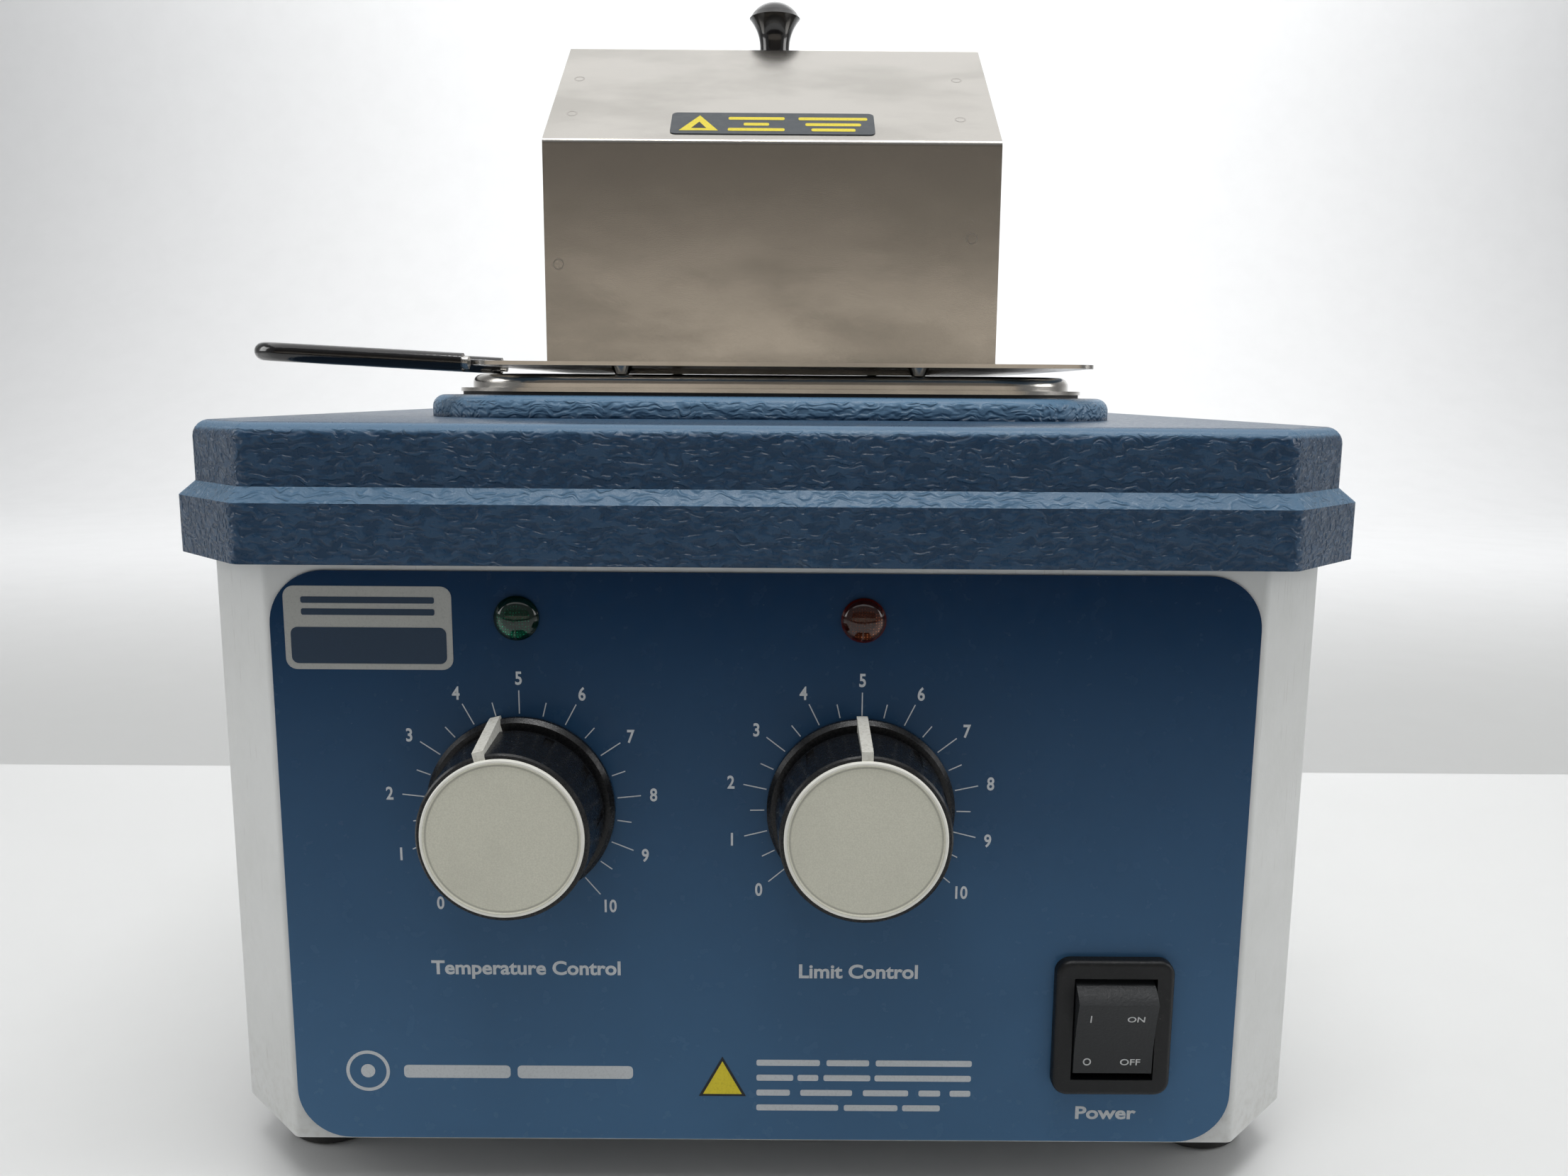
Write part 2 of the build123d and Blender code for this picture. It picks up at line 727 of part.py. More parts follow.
def knob_body(x, turn):
    """Black knob with skirt, a recess for the bushing nut, gripping pads and a pointer slot."""
    with BuildPart() as knob:
        with BuildSketch(dial_profile_plane(x)):
            with BuildLine():
                Polyline(
                    (0, -cap_seat),
                    (knob_body_front_radius - edge_break, -cap_seat),
                    (knob_body_front_radius, -cap_seat + edge_break),
                    (knob_body_back_radius, -skirt_front - 2.6),
                    (knob_body_back_radius - 0.9, -skirt_front - 2.0),
                    (knob_body_back_radius - 0.9, -skirt_front - 0.6),
                    (skirt_step_radius, -skirt_front - 0.6),
                    (knob_skirt_radius, -skirt_front + edge_break),
                    (knob_skirt_radius, -skirt_gap),
                    (recess_radius, -skirt_gap),
                    (recess_radius, -skirt_gap - recess_depth),
                    (shaft_radius, -skirt_gap - recess_depth),
                    (shaft_radius, -shaft_end),
                    (0, -shaft_end),
                    close=True,
                )
            make_face()
        revolve(axis=dial_axis(x))
        with BuildSketch(turned_plane(x, skirt_front + 3.2, turn)):
            with PolarLocations(
                knob_body_back_radius,
                notch_count,
                start_angle=90 + notch_start,
                angular_range=360 - 2 * notch_start,
                endpoint=True,
            ):
                Rectangle(2 * notch_depth, notch_width)
        extrude(amount=cap_seat - skirt_front - 5.2, mode=Mode.SUBTRACT)
        with BuildSketch(turned_plane(x, 0, turn)):
            with Locations((0, (pointer_tip_radius + cap_radius) / 2)):
                Rectangle(pointer_width, pointer_tip_radius - cap_radius + 0.6)
        extrude(amount=knob_height, mode=Mode.SUBTRACT)
    return knob


def knob_cap(x):
    """Light cap with a thin raised rim."""
    with BuildPart() as cap:
        with BuildSketch(dial_profile_plane(x)):
            with BuildLine():
                Polyline(
                    (0, -cap_seat),
                    (cap_radius, -cap_seat),
                    (cap_radius, -knob_height + cap_dish),
                    (cap_radius - cap_dish, -knob_height),
                    (cap_radius - 3 * cap_dish, -knob_height),
                    (cap_radius - 4 * cap_dish, -knob_height + cap_dish),
                    (0, -knob_height + cap_dish),
                    close=True,
                )
            make_face()
        revolve(axis=dial_axis(x))
    return cap


def knob_pointer(x, turn):
    """Light fin from the cap's edge back to the edge of the skirt."""
    angle = radians(turn)
    outward = Vector(-sin(angle), 0, cos(angle))
    side = Vector(cos(angle), 0, sin(angle))
    origin = Vector(x, panel_y, dial_z)
    with BuildPart() as pointer:
        with BuildSketch(Plane(origin=origin, x_dir=outward, z_dir=side)):
            with BuildLine():
                Polyline(
                    (cap_radius - 0.3, cap_seat),
                    (pointer_front_radius, cap_seat),
                    (pointer_tip_radius, skirt_gap + 1.2),
                    (pointer_tip_radius, skirt_gap),
                    (cap_radius - 0.3, skirt_gap),
                    close=True,
                )
            make_face()
        extrude(amount=pointer_width / 2, both=True)
    return pointer


def knob_shaft(x):
    """Steel shaft from the knob into the thermostat."""
    with BuildPart() as shaft:
        with BuildSketch(panel_plane(x, dial_z, shaft_end)):
            Circle(shaft_radius)
        extrude(amount=-shaft_end - shaft_depth + 0.5)
    return shaft


for dial, x, turn in (
    ("temperature", dial_left_x, dial_left_setting),
    ("limit", dial_right_x, dial_right_setting),
):
    save(knob_body(x, turn), f"{dial}_knob")
    save(knob_cap(x), f"{dial}_knob_cap")
    save(knob_pointer(x, turn), f"{dial}_pointer")
    save(knob_shaft(x), f"{dial}_shaft")

# ---------------------------------------------------------------- pilot lights
lens_reach = 3.0
lens_flange = 0.6
pilot_body_radius = 6.0
pilot_body_length = 20.0
lamp_radius = 2.4


def pilot_lens(x):
    """Domed lens with a flange against the overlay and a shank through the panel."""
    base = overlay_thickness
    dome_height = lens_reach - lens_flange
    dome_radius = (dome_height**2 + pilot_radius**2) / (2 * dome_height)
    half_angle = asin(pilot_radius / dome_radius) / 2
    with BuildPart() as lens:
        with BuildSketch(Plane(origin=(x, panel_y, pilot_z), x_dir=(1, 0, 0), z_dir=(0, 0, 1))):
            with BuildLine():
                rim = (pilot_radius, -base - lens_flange)
                crown = (0, -base - lens_reach)
                half_way = (
                    dome_radius * sin(half_angle),
                    -base - lens_reach + dome_radius * (1 - cos(half_angle)),
                )
                ThreePointArc(rim, half_way, crown)
                Polyline(
                    crown,
                    (0, 6),
                    (pilot_shank_radius, 6),
                    (pilot_shank_radius, -base),
                    (pilot_radius, -base),
                    rim,
                )
            make_face()
        revolve(axis=Axis((x, panel_y, pilot_z), (0, 1, 0)))
    return lens


save(pilot_lens(dial_left_x), "heat_pilot_lens")
save(pilot_lens(dial_right_x), "limit_pilot_lens")

with BuildPart() as pilot_holders:
    for x in (dial_left_x, dial_right_x):
        with BuildSketch(panel_plane(x, pilot_z, -sheet)):
            Circle(pilot_body_radius)
            Circle(pilot_shank_radius, mode=Mode.SUBTRACT)
        extrude(amount=-pilot_body_length)
        with BuildSketch(panel_plane(x, pilot_z, -sheet - pilot_body_length)):
            Circle(pilot_body_radius)
        extrude(amount=-1.5)
save(pilot_holders, "pilot_holders")

with BuildPart() as neon_lamps:
    for x in (dial_left_x, dial_right_x):
        with BuildSketch(panel_plane(x, pilot_z, -7)):
            Circle(lamp_radius)
        extrude(amount=-(pilot_body_length + sheet - 7))
save(neon_lamps, "neon_lamps")

# ---------------------------------------------------------------- rocker switch
bezel_height = 2.6
bezel_corner_radius = 3.2
bezel_edge_radius = 1.1
cutout_clearance = 0.15
switch_body_depth = 20.0
pocket_depth = 14.0
pivot_depth = 2.0            # pivot behind the panel's face
pivot_radius = 1.5
pivot_pin_reach = 1.4
switch_seat = overlay_thickness
pivot_plane = Plane(origin=(switch_x, panel_y + pivot_depth, switch_z), x_dir=(0, 1, 0), z_dir=(1, 0, 0))

with BuildPart() as switch_housing:
    with BuildSketch(panel_plane(switch_x, switch_z, switch_seat)):
        RectangleRounded(switch_width, switch_length, bezel_corner_radius)
    extrude(amount=bezel_height)
    fillet(faces().sort_by(Axis.Y)[0].edges(), bezel_edge_radius)
    with BuildSketch(panel_plane(switch_x, switch_z, switch_seat)):
        Rectangle(
            switch_cutout_width - 2 * cutout_clearance, switch_cutout_length - 2 * cutout_clearance
        )
    extrude(amount=-switch_body_depth)
    with BuildSketch(panel_plane(switch_x, switch_z, switch_seat + bezel_height)):
        Rectangle(opening_width, opening_length)
    extrude(amount=-pocket_depth, mode=Mode.SUBTRACT)
    with BuildSketch(pivot_plane):
        Circle(pivot_radius + running_clearance)
    extrude(amount=opening_width / 2 + pivot_pin_reach, both=True, mode=Mode.SUBTRACT)
save(switch_housing, "switch_housing")

ridge_angle = radians(49.0 - rocker_rest_angle)
rocker_back = 4.0
rest = radians(rocker_rest_angle)
rocker_plane = Plane(
    origin=(switch_x, panel_y + pivot_depth, switch_z),
    x_dir=(0, -cos(rest), -sin(rest)),
    z_dir=(-1, 0, 0),
)
ridge_out = rocker_radius * sin(ridge_angle)
ridge_up = rocker_radius * cos(ridge_angle)
back_up = sqrt(rocker_radius**2 - rocker_back**2)

with BuildPart() as rocker:
    with BuildSketch(rocker_plane):
        with BuildLine():
            ThreePointArc((ridge_out, ridge_up), (ridge_out - 0.7, 0), (ridge_out, -ridge_up))
            ThreePointArc((ridge_out, -ridge_up), (0, -rocker_radius), (-rocker_back, -back_up))
            Line((-rocker_back, -back_up), (-rocker_back, back_up))
            ThreePointArc((-rocker_back, back_up), (0, rocker_radius), (ridge_out, ridge_up))
        make_face()
    extrude(amount=rocker_width / 2, both=True)
    with BuildSketch(rocker_plane):
        Circle(pivot_radius)
    extrude(amount=rocker_width / 2 + opening_side_gap + 1.0, both=True)
save(rocker, "rocker")

terminal_root = switch_body_depth - switch_seat
with BuildPart() as switch_terminals:
    with BuildSketch(panel_plane(switch_x, switch_z, -terminal_root)):
        with GridLocations(10, 14, 2, 2):
            Rectangle(0.8, 6.3)
    extrude(amount=-8)
save(switch_terminals, "switch_terminals")

# ---------------------------------------------------------------- mains inlet
inlet_flange = 2.5
inlet_flange_width = 50.0
inlet_flange_height = 24.0
socket_width = 24.4
socket_height = 16.6
socket_depth = 16.0
inlet_body_depth = 20.0
pin_length = 12.0

with BuildPart() as power_inlet:
    with BuildSketch(back_plane(inlet_x, inlet_z)):
        RectangleRounded(inlet_flange_width, inlet_flange_height, 4)
        with GridLocations(inlet_screw_pitch, 0, 2, 1):
            Circle(inlet_screw_radius, mode=Mode.SUBTRACT)
    extrude(amount=inlet_flange)
    with BuildSketch(back_plane(inlet_x, inlet_z)):
        Rectangle(inlet_cutout_width - 0.4, inlet_cutout_height - 0.4)
    extrude(amount=-inlet_body_depth)
    with BuildSketch(back_plane(inlet_x, inlet_z, inlet_flange)):
        Rectangle(socket_width, socket_height)
        chamfer(vertices().group_by(Axis.Y)[-1], 5)
    extrude(amount=-socket_depth, mode=Mode.SUBTRACT)
save(power_inlet, "power_inlet")

socket_floor = inlet_flange - socket_depth
with BuildPart() as inlet_pins:
    for pin_x, pin_z in ((-7, -2), (7, -2), (0, 2)):
        with BuildSketch(back_plane(inlet_x, inlet_z, socket_floor)):
            with Locations((pin_x, pin_z)):
                Rectangle(2, 4)
        extrude(amount=pin_length)
        with BuildSketch(back_plane(inlet_x, inlet_z, -inlet_body_depth)):
            with Locations((pin_x, pin_z)):
                Rectangle(0.8, 4.8)
        extrude(amount=-8)
save(inlet_pins, "inlet_pins")

with BuildPart() as inlet_screws:
    with BuildSketch(back_plane(inlet_x, inlet_z, inlet_flange)):
        with GridLocations(inlet_screw_pitch, 0, 2, 1):
            Circle(2.8)
    extrude(amount=1.6)
    with BuildSketch(back_plane(inlet_x, inlet_z, inlet_flange)):
        with GridLocations(inlet_screw_pitch, 0, 2, 1):
            Circle(inlet_screw_radius)
    extrude(amount=-8)
save(inlet_screws, "inlet_screws")

# ---------------------------------------------------------------- wiring
tag_length = 8.0             # tags behind the inlet and the switch
wire_run_inset = 22.1        # wires inside the case's right side
wire_run_x = body_width / 2 - wire_run_inset
inlet_tail_y = back_y - inlet_body_depth - tag_length
switch_tail_y = panel_y + terminal_root + tag_length
stat_tail_y = stat_front_y + stat_plate + stat_depth + 7
wire_bend = 6.0


def supply_route(terminal_x, drop, pin_x, pin_z):
    """Wire from an inlet tag, along the right side of the case, to a switch terminal."""
    run_x = wire_run_x + drop
    run_z = inlet_z + pin_z
    end_z = switch_z + 7
    return [
        (inlet_x - pin_x, inlet_tail_y, run_z),
        (inlet_x - pin_x, inlet_tail_y - 10 - drop, run_z),
        (run_x, inlet_tail_y - 10 - drop, run_z),
        (run_x, switch_tail_y + 20 + drop, run_z),
        (switch_x + terminal_x, switch_tail_y + 20 + drop, end_z),
        (switch_x + terminal_x, switch_tail_y, end_z),
    ]


with BuildPart() as supply_wires:
    add(tube_along(supply_route(-5, 6, 7, -2), wire_bend, wire_radius))
    add(tube_along(supply_route(5, 0, -7, -2), wire_bend, wire_radius))
save(supply_wires, "supply_wires")

tag_x = 9.0                  # thermostat tags, each side of the shaft
tag_z = 6.0
loop_y = stat_tail_y + 5
short_bend = 3.5
heater_lead_z = heater_z + heater_thickness / 2
heater_lead_y = heater_y - heater_depth / 2 + 14
heater_lead_x = -heater_width / 2
switch_lead_x = switch_x - 5
control_routes = [
    [
        (switch_lead_x, switch_tail_y, switch_z - 7),
        (switch_lead_x, loop_y, switch_z - 7),
        (dial_right_x + tag_x, loop_y, dial_z - tag_z),
        (dial_right_x + tag_x, stat_tail_y, dial_z - tag_z),
    ],
    [
        (dial_right_x - tag_x, stat_tail_y, dial_z + tag_z),
        (dial_right_x - tag_x, loop_y, dial_z + tag_z),
        (dial_left_x + tag_x, loop_y, dial_z + tag_z),
        (dial_left_x + tag_x, stat_tail_y, dial_z + tag_z),
    ],
    [
        (dial_left_x - tag_x, stat_tail_y, dial_z - tag_z),
        (dial_left_x - tag_x, loop_y, dial_z - tag_z),
        (dial_left_x - tag_x, loop_y, heater_lead_z),
        (heater_lead_x - 8, heater_lead_y, heater_lead_z),
        (heater_lead_x, heater_lead_y, heater_lead_z),
    ],
]

with BuildPart() as control_wires:
    for route in control_routes:
        add(tube_along(route, short_bend, wire_radius))
save(control_wires, "control_wires")

terminal_block_x = 82.0
with BuildPart() as terminal_block:
    with BuildSketch(Plane.XY.offset(pan_top_z)):
        with Locations((terminal_block_x, body_y + 40)):
            RectangleRounded(16, 40, 2)
    extrude(amount=12)
    with BuildSketch(Plane.XY.offset(pan_top_z + 12)):
        with Locations((terminal_block_x, body_y + 40)):
            with GridLocations(0, 10, 1, 4):
                Circle(2.2)
    extrude(amount=-4, mode=Mode.SUBTRACT)
save(terminal_block, "terminal_block")

with BuildPart() as earth_stud:
    with BuildSketch(Plane.XY.offset(pan_top_z)):
        with Locations((inlet_x, back_y - 34)):
            Circle(2)
    extrude(amount=12)
    with BuildSketch(Plane.XY.offset(pan_top_z)):
        with Locations((inlet_x, back_y - 34)):
            RegularPolygon(3.5, 6, major_radius=False)
    extrude(amount=3.2)
save(earth_stud, "earth_stud")

# ---------------------------------------------------------------- cover plate with its handle
plate_width = plate_left + plate_right
plate_x = (plate_right - plate_left) / 2

dimple_radius = 2.5
dimple_taper = 25

with BuildPart() as cover_plate:
    with BuildSketch(Plane.XY.offset(plate_z)):
        with Locations((plate_x, body_y)):
            RectangleRounded(plate_width, plate_depth, 6)
        with Locations((0, body_y)):
            RectangleRounded(window_width, window_depth, 6, mode=Mode.SUBTRACT)
    extrude(amount=plate_thickness)
    with BuildSketch(Plane.XY.offset(plate_z)):
        with Locations((0, body_y)):
            with GridLocations(well_width / 2, well_outer_depth + rim_bead - 1.1, 2, 2):
                Circle(dimple_radius)
    extrude(amount=-plate_spacer, taper=dimple_taper)
save(cover_plate, "cover_plate")

handle_front_y = body_y - plate_depth / 2 + grip_diameter / 2 + 0.3
handle_back_y = handle_front_y + handle_span
handle_length = handle_reach - grip_diameter / 2
handle_corner = 8.0
grip_gap = 1.4


def handle_route(start):
    """Round the handle from one root to the other, starting a little way out from the plate."""
    root_z = plate_z + plate_thickness / 2
    start_z = root_z + handle_rise * start / handle_length
    end_x = -plate_left - handle_length
    return [
        (-plate_left - start, handle_front_y, start_z),
        (end_x, handle_front_y, root_z + handle_rise),
        (end_x, handle_back_y, root_z + handle_rise),
        (-plate_left - start, handle_back_y, start_z),
    ]


with BuildPart() as handle_rod:
    add(tube_along(handle_route(0), handle_corner, rod_diameter / 2))
save(handle_rod, "handle_rod")

with BuildPart() as handle_grip:
    add(tube_along(handle_route(grip_gap), handle_corner, grip_diameter / 2))
    add(tube_along(handle_route(0), handle_corner, rod_diameter / 2), mode=Mode.SUBTRACT)
save(handle_grip, "handle_grip")

# ---------------------------------------------------------------- gabled cover
cover_front_y = body_y - cover_depth / 2
cover_back_y = body_y + cover_depth / 2
flat_front_y = body_y - cover_top_flat / 2
flat_back_y = body_y + cover_top_flat / 2
cover_bend = 2.0
gable_outline = [
    (cover_front_y, cover_z),
    (cover_front_y, eave_z),
    (flat_front_y, ridge_z),
    (flat_back_y, ridge_z),
    (cover_back_y, eave_z),
    (cover_back_y, cover_z),
]
end_flange = 9.0
cover_bolt_radius = 2.0


with BuildPart() as cover_wrap:
    with BuildSketch(Plane.YZ.offset(-cover_width / 2)):
        with BuildLine():
            Polyline(*gable_outline, close=True)
        make_face()
        fillet(vertices().sort_by(Axis.Y)[2:], cover_bend)
    extrude(amount=cover_width)
    with BuildSketch(Plane.YZ.offset(-cover_width / 2)):
        with BuildLine():
            Polyline(*gable_outline, close=True)
        make_face()
        fillet(vertices().sort_by(Axis.Y)[2:], cover_bend)
        offset(amount=-cover_sheet, mode=Mode.REPLACE)
        with Locations((body_y, cover_z)):
            Rectangle(cover_depth - 2 * cover_sheet, 4 * cover_sheet)
    extrude(amount=cover_width, mode=Mode.SUBTRACT)
    with BuildSketch(Plane.XY.offset(ridge_z)):
        with Locations((0, body_y)):
            Circle(cover_bolt_radius)
    extrude(amount=-2 * cover_sheet, mode=Mode.SUBTRACT)
save(cover_wrap, "cover_wrap")

end_inset = cover_sheet + 0.05


def cover_end(side):
    """End panel with a flange that is spot-welded inside the wrap, all round but at the foot."""
    outer_x = side * cover_width / 2
    with BuildPart() as end:
        with BuildSketch(Plane.YZ.offset(outer_x)):
            with BuildLine():
                Polyline(*gable_outline, close=True)
            make_face()
            fillet(vertices().sort_by(Axis.Y)[2:], cover_bend)
            offset(amount=-end_inset, mode=Mode.REPLACE)
            with Locations((body_y, cover_z + 1)):
                Rectangle(cover_depth - 2 * end_inset, 2)
        extrude(amount=-side * end_flange)
        with BuildSketch(Plane.YZ.offset(outer_x - side * cover_sheet)):
            with BuildLine():
                Polyline(*gable_outline, close=True)
            make_face()
            fillet(vertices().sort_by(Axis.Y)[2:], cover_bend)
            offset(amount=-end_inset - cover_sheet, mode=Mode.REPLACE)
            with Locations((body_y, cover_z + 1)):
                Rectangle(cover_depth - 2 * (end_inset + cover_sheet), 4)
        extrude(amount=-side * end_flange, mode=Mode.SUBTRACT)
    return end


save(cover_end(-1), "cover_end_left")
save(cover_end(1), "cover_end_right")

# Turned knob on the cover's flat top, held by a screw and washer from inside
knob_neck_radius = 4.0
knob_head_radius = 7.2
knob_widest = 10.8
knob_bevel = 12.2
knob_bevel_radius = 6.25
screw_in_knob = 8.0
knob_axis = Axis((0, body_y, ridge_z), (0, 0, 1))

with BuildPart() as cover_knob:
    with BuildSketch(Plane(origin=(0, body_y, ridge_z), x_dir=(1, 0, 0), z_dir=(0, -1, 0))):
        with BuildLine():
            Line((cover_bolt_radius, 0), (knob_neck_radius + 0.5, 0))
            ThreePointArc(
                (knob_neck_radius + 0.5, 0), (knob_neck_radius + 0.3, 4.5), (knob_head_radius, knob_widest)
            )
            Line((knob_head_radius, knob_widest), (knob_bevel_radius, knob_bevel))
            dome_rise = cover_knob_height - knob_bevel
            dome_radius = (dome_rise**2 + knob_bevel_radius**2) / (2 * dome_rise)
            half_angle = asin(knob_bevel_radius / dome_radius) / 2
            dome_middle = (
                dome_radius * sin(half_angle),
                cover_knob_height - dome_radius * (1 - cos(half_angle)),
            )
            ThreePointArc((knob_bevel_radius, knob_bevel), dome_middle, (0, cover_knob_height))
            Polyline(
                (0, cover_knob_height),
                (0, screw_in_knob),
                (cover_bolt_radius, screw_in_knob),
                (cover_bolt_radius, 0),
            )
        make_face()
    revolve(axis=knob_axis)
save(cover_knob, "cover_knob")

washer_z = ridge_z - cover_sheet
washer_thickness = 0.8
with BuildPart() as cover_washer:
    with BuildSketch(Plane.XY.offset(washer_z)):
        with Locations((0, body_y)):
            Circle(5)
            Circle(cover_bolt_radius, mode=Mode.SUBTRACT)
    extrude(amount=-washer_thickness)
save(cover_washer, "cover_washer")

with BuildPart() as cover_screw:
    with BuildSketch(Plane.XY.offset(washer_z - washer_thickness)):
        with Locations((0, body_y)):
            Circle(3.6)
    extrude(amount=-2.4)
    with BuildSketch(Plane.XY.offset(washer_z - washer_thickness)):
        with Locations((0, body_y)):
            Circle(cover_bolt_radius)
    extrude(amount=washer_thickness + cover_sheet + screw_in_knob)
save(cover_screw, "cover_screw")

# Hot-surface label, stuck near the foot of the front slope
label_width = 51.2
label_height = 12.0
label_thickness = 0.2
label_start = 3.2            # up the slope from the eave
slope_run = flat_front_y - cover_front_y
slope_length = sqrt(slope_run**2 + cover_rise**2)
slope_y = slope_run / slope_length
slope_z = cover_rise / slope_length
label_middle = label_start + label_height / 2
label_plane = Plane(
    origin=(0, cover_front_y + label_middle * slope_y, eave_z + label_middle * slope_z),
    x_dir=(1, 0, 0),
    z_dir=(0, -slope_z, slope_y),
)

with BuildPart() as caution_label:
    with BuildSketch(label_plane):
        RectangleRounded(label_width, label_height, 1.5)
    extrude(amount=label_thickness)
save(caution_label, "caution_label")
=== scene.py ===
import json
from math import cos, pi, radians, sin

import bmesh
import bpy
from mathutils import Matrix, Vector


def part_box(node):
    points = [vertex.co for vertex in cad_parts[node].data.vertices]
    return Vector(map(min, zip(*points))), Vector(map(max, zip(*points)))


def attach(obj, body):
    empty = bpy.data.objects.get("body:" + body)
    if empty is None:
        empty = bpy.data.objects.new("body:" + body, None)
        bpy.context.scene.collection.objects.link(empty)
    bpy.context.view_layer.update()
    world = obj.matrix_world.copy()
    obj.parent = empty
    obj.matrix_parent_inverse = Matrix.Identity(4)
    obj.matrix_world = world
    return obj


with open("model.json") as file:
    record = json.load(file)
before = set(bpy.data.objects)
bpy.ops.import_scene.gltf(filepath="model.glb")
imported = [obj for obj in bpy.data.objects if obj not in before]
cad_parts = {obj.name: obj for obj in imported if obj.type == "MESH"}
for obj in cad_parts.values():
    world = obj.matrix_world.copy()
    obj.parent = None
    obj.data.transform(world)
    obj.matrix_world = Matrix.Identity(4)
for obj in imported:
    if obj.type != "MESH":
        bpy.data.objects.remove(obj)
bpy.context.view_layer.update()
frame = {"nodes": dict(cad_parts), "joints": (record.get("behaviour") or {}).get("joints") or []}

MM = 0.001
NODES = frame["nodes"]


# ---------------------------------------------------------------- places, read from the frame
def span(node):
    """Lowest corner, highest corner and middle of a CAD node, in metres."""
    low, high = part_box(node)
    return low, high, (low + high) / 2


overlay_low, overlay_high = span("front_overlay")[:2]
panel_front_y = overlay_low.y
boss_height = 5.2                  # raised boss on the moulded top, in millimetres
boss_foot = span("moulded_top")[1].z / MM - boss_height
switch_x = span("switch_housing")[2].x
wrap_low = span("cover_wrap")[0]
label_mid = span("caution_label")[2]
JOINTS = {joint["name"]: joint for joint in frame["joints"]}
dial_centres = {
    "temperature": Vector(JOINTS["temperature_turn"]["pos_m"]),
    "limit": Vector(JOINTS["limit_turn"]["pos_m"]),
}
rocker_pivot = Vector(JOINTS["power_rock"]["pos_m"])


# ---------------------------------------------------------------- node helpers
class Shader:
    """A Principled material under construction, with short calls for its node graph."""

    def __init__(self, name, **sockets):
        self.material = bpy.data.materials.new(name)
        self.material.use_nodes = True
        self.tree = self.material.node_tree
        self.bsdf = self.tree.nodes["Principled BSDF"]
        for socket, value in sockets.items():
            self.bsdf.inputs[socket.replace("_", " ")].default_value = value
        self.place = self.tree.nodes.new("ShaderNodeTexCoord")

    def node(self, kind, **settings):
        made = self.tree.nodes.new(kind)
        for key, value in settings.items():
            setattr(made, key, value)
        return made

    def join(self, source, target):
        self.tree.links.new(source, target)

    def where(self, stretch=(1, 1, 1), turn=(0, 0, 0)):
        """Object position in millimetres, each axis multiplied by its stretch."""
        mapping = self.node("ShaderNodeMapping")
        mapping.inputs["Scale"].default_value = [s / MM for s in stretch]
        mapping.inputs["Rotation"].default_value = turn
        self.join(self.place.outputs["Object"], mapping.inputs["Vector"])
        return mapping.outputs["Vector"]

    def noise(self, vector, scale, detail=3.0, roughness=0.55, distortion=0.0):
        """Noise about 0.5; the scale is in features per millimetre."""
        made = self.node("ShaderNodeTexNoise")
        made.inputs["Scale"].default_value = scale
        made.inputs["Detail"].default_value = detail
        made.inputs["Roughness"].default_value = roughness
        made.inputs["Distortion"].default_value = distortion
        self.join(vector, made.inputs["Vector"])
        return made.outputs["Fac"]

    def cells(self, vector, scale, randomness=1.0):
        """Distance to the nearest of scattered points, in cells."""
        made = self.node("ShaderNodeTexVoronoi", feature="F1")
        made.inputs["Scale"].default_value = scale
        made.inputs["Randomness"].default_value = randomness
        self.join(vector, made.inputs["Vector"])
        return made.outputs["Distance"]

    def math(self, operation, a, b=0.0):
        """One Math node on sockets or plain numbers."""
        made = self.node("ShaderNodeMath", operation=operation)
        for socket, value in zip(made.inputs, (a, b)):
            if isinstance(value, (int, float)):
                socket.default_value = value
            else:
                self.join(value, socket)
        return made.outputs[0]

    def span(self, fac, low, high, to_low=0.0, to_high=1.0, smooth=True):
        """Carries the range low to high over to to_low to to_high, and clamps outside it."""
        made = self.node("ShaderNodeMapRange")
        made.interpolation_type = "SMOOTHSTEP" if smooth else "LINEAR"
        for name, value in (
            ("From Min", low), ("From Max", high), ("To Min", to_low), ("To Max", to_high)
        ):
            made.inputs[name].default_value = value
        self.join(fac, made.inputs["Value"])
        return made.outputs["Result"]

    def times(self, a, b):
        return self.math("MULTIPLY", a, b)

    def most(self, a, b):
        return self.math("MAXIMUM", a, b)

    def mix(self, fac, a, b):
        """Value a where fac is 0, value b where it is 1."""
        made = self.node("ShaderNodeMix", data_type="FLOAT")
        for socket, source in zip(made.inputs, (fac, a, b)):
            self.join(source, socket)
        return made.outputs[0]

    def blend(self, fac, a, b):
        """Colour a where fac is 0, colour b where it is 1."""
        made = self.node("ShaderNodeMix", data_type="RGBA")
        for socket, value in zip((made.inputs[0], made.inputs[6], made.inputs[7]), (fac, a, b)):
            if isinstance(value, (int, float)):
                socket.default_value = value
            elif isinstance(value, tuple):
                socket.default_value = (*value, 1)
            else:
                self.join(value, socket)
        return made.outputs[2]

    def axis_share(self, axis):
        """How squarely the surface faces along an object axis, 0 to 1."""
        split = self.node("ShaderNodeSeparateXYZ")
        self.join(self.place.outputs["Normal"], split.inputs[0])
        return self.math("ABSOLUTE", split.outputs[axis])

    def coordinate(self, axis):
        """Object position along one axis, in millimetres."""
        split = self.node("ShaderNodeSeparateXYZ")
        self.join(self.where(), split.inputs[0])
        return split.outputs[axis]

    def distance_from(self, centre, axes=(1, 0, 1)):
        """Distance in millimetres from a point in metres, over the chosen axes."""
        away = self.node("ShaderNodeVectorMath", operation="SUBTRACT")
        away.inputs[1].default_value = [c / MM for c in centre]
        self.join(self.where(), away.inputs[0])
        flat = self.node("ShaderNodeVectorMath", operation="MULTIPLY")
        flat.inputs[1].default_value = axes
        self.join(away.outputs[0], flat.inputs[0])
        length = self.node("ShaderNodeVectorMath", operation="LENGTH")
        self.join(flat.outputs[0], length.inputs[0])
        return length.outputs["Value"]

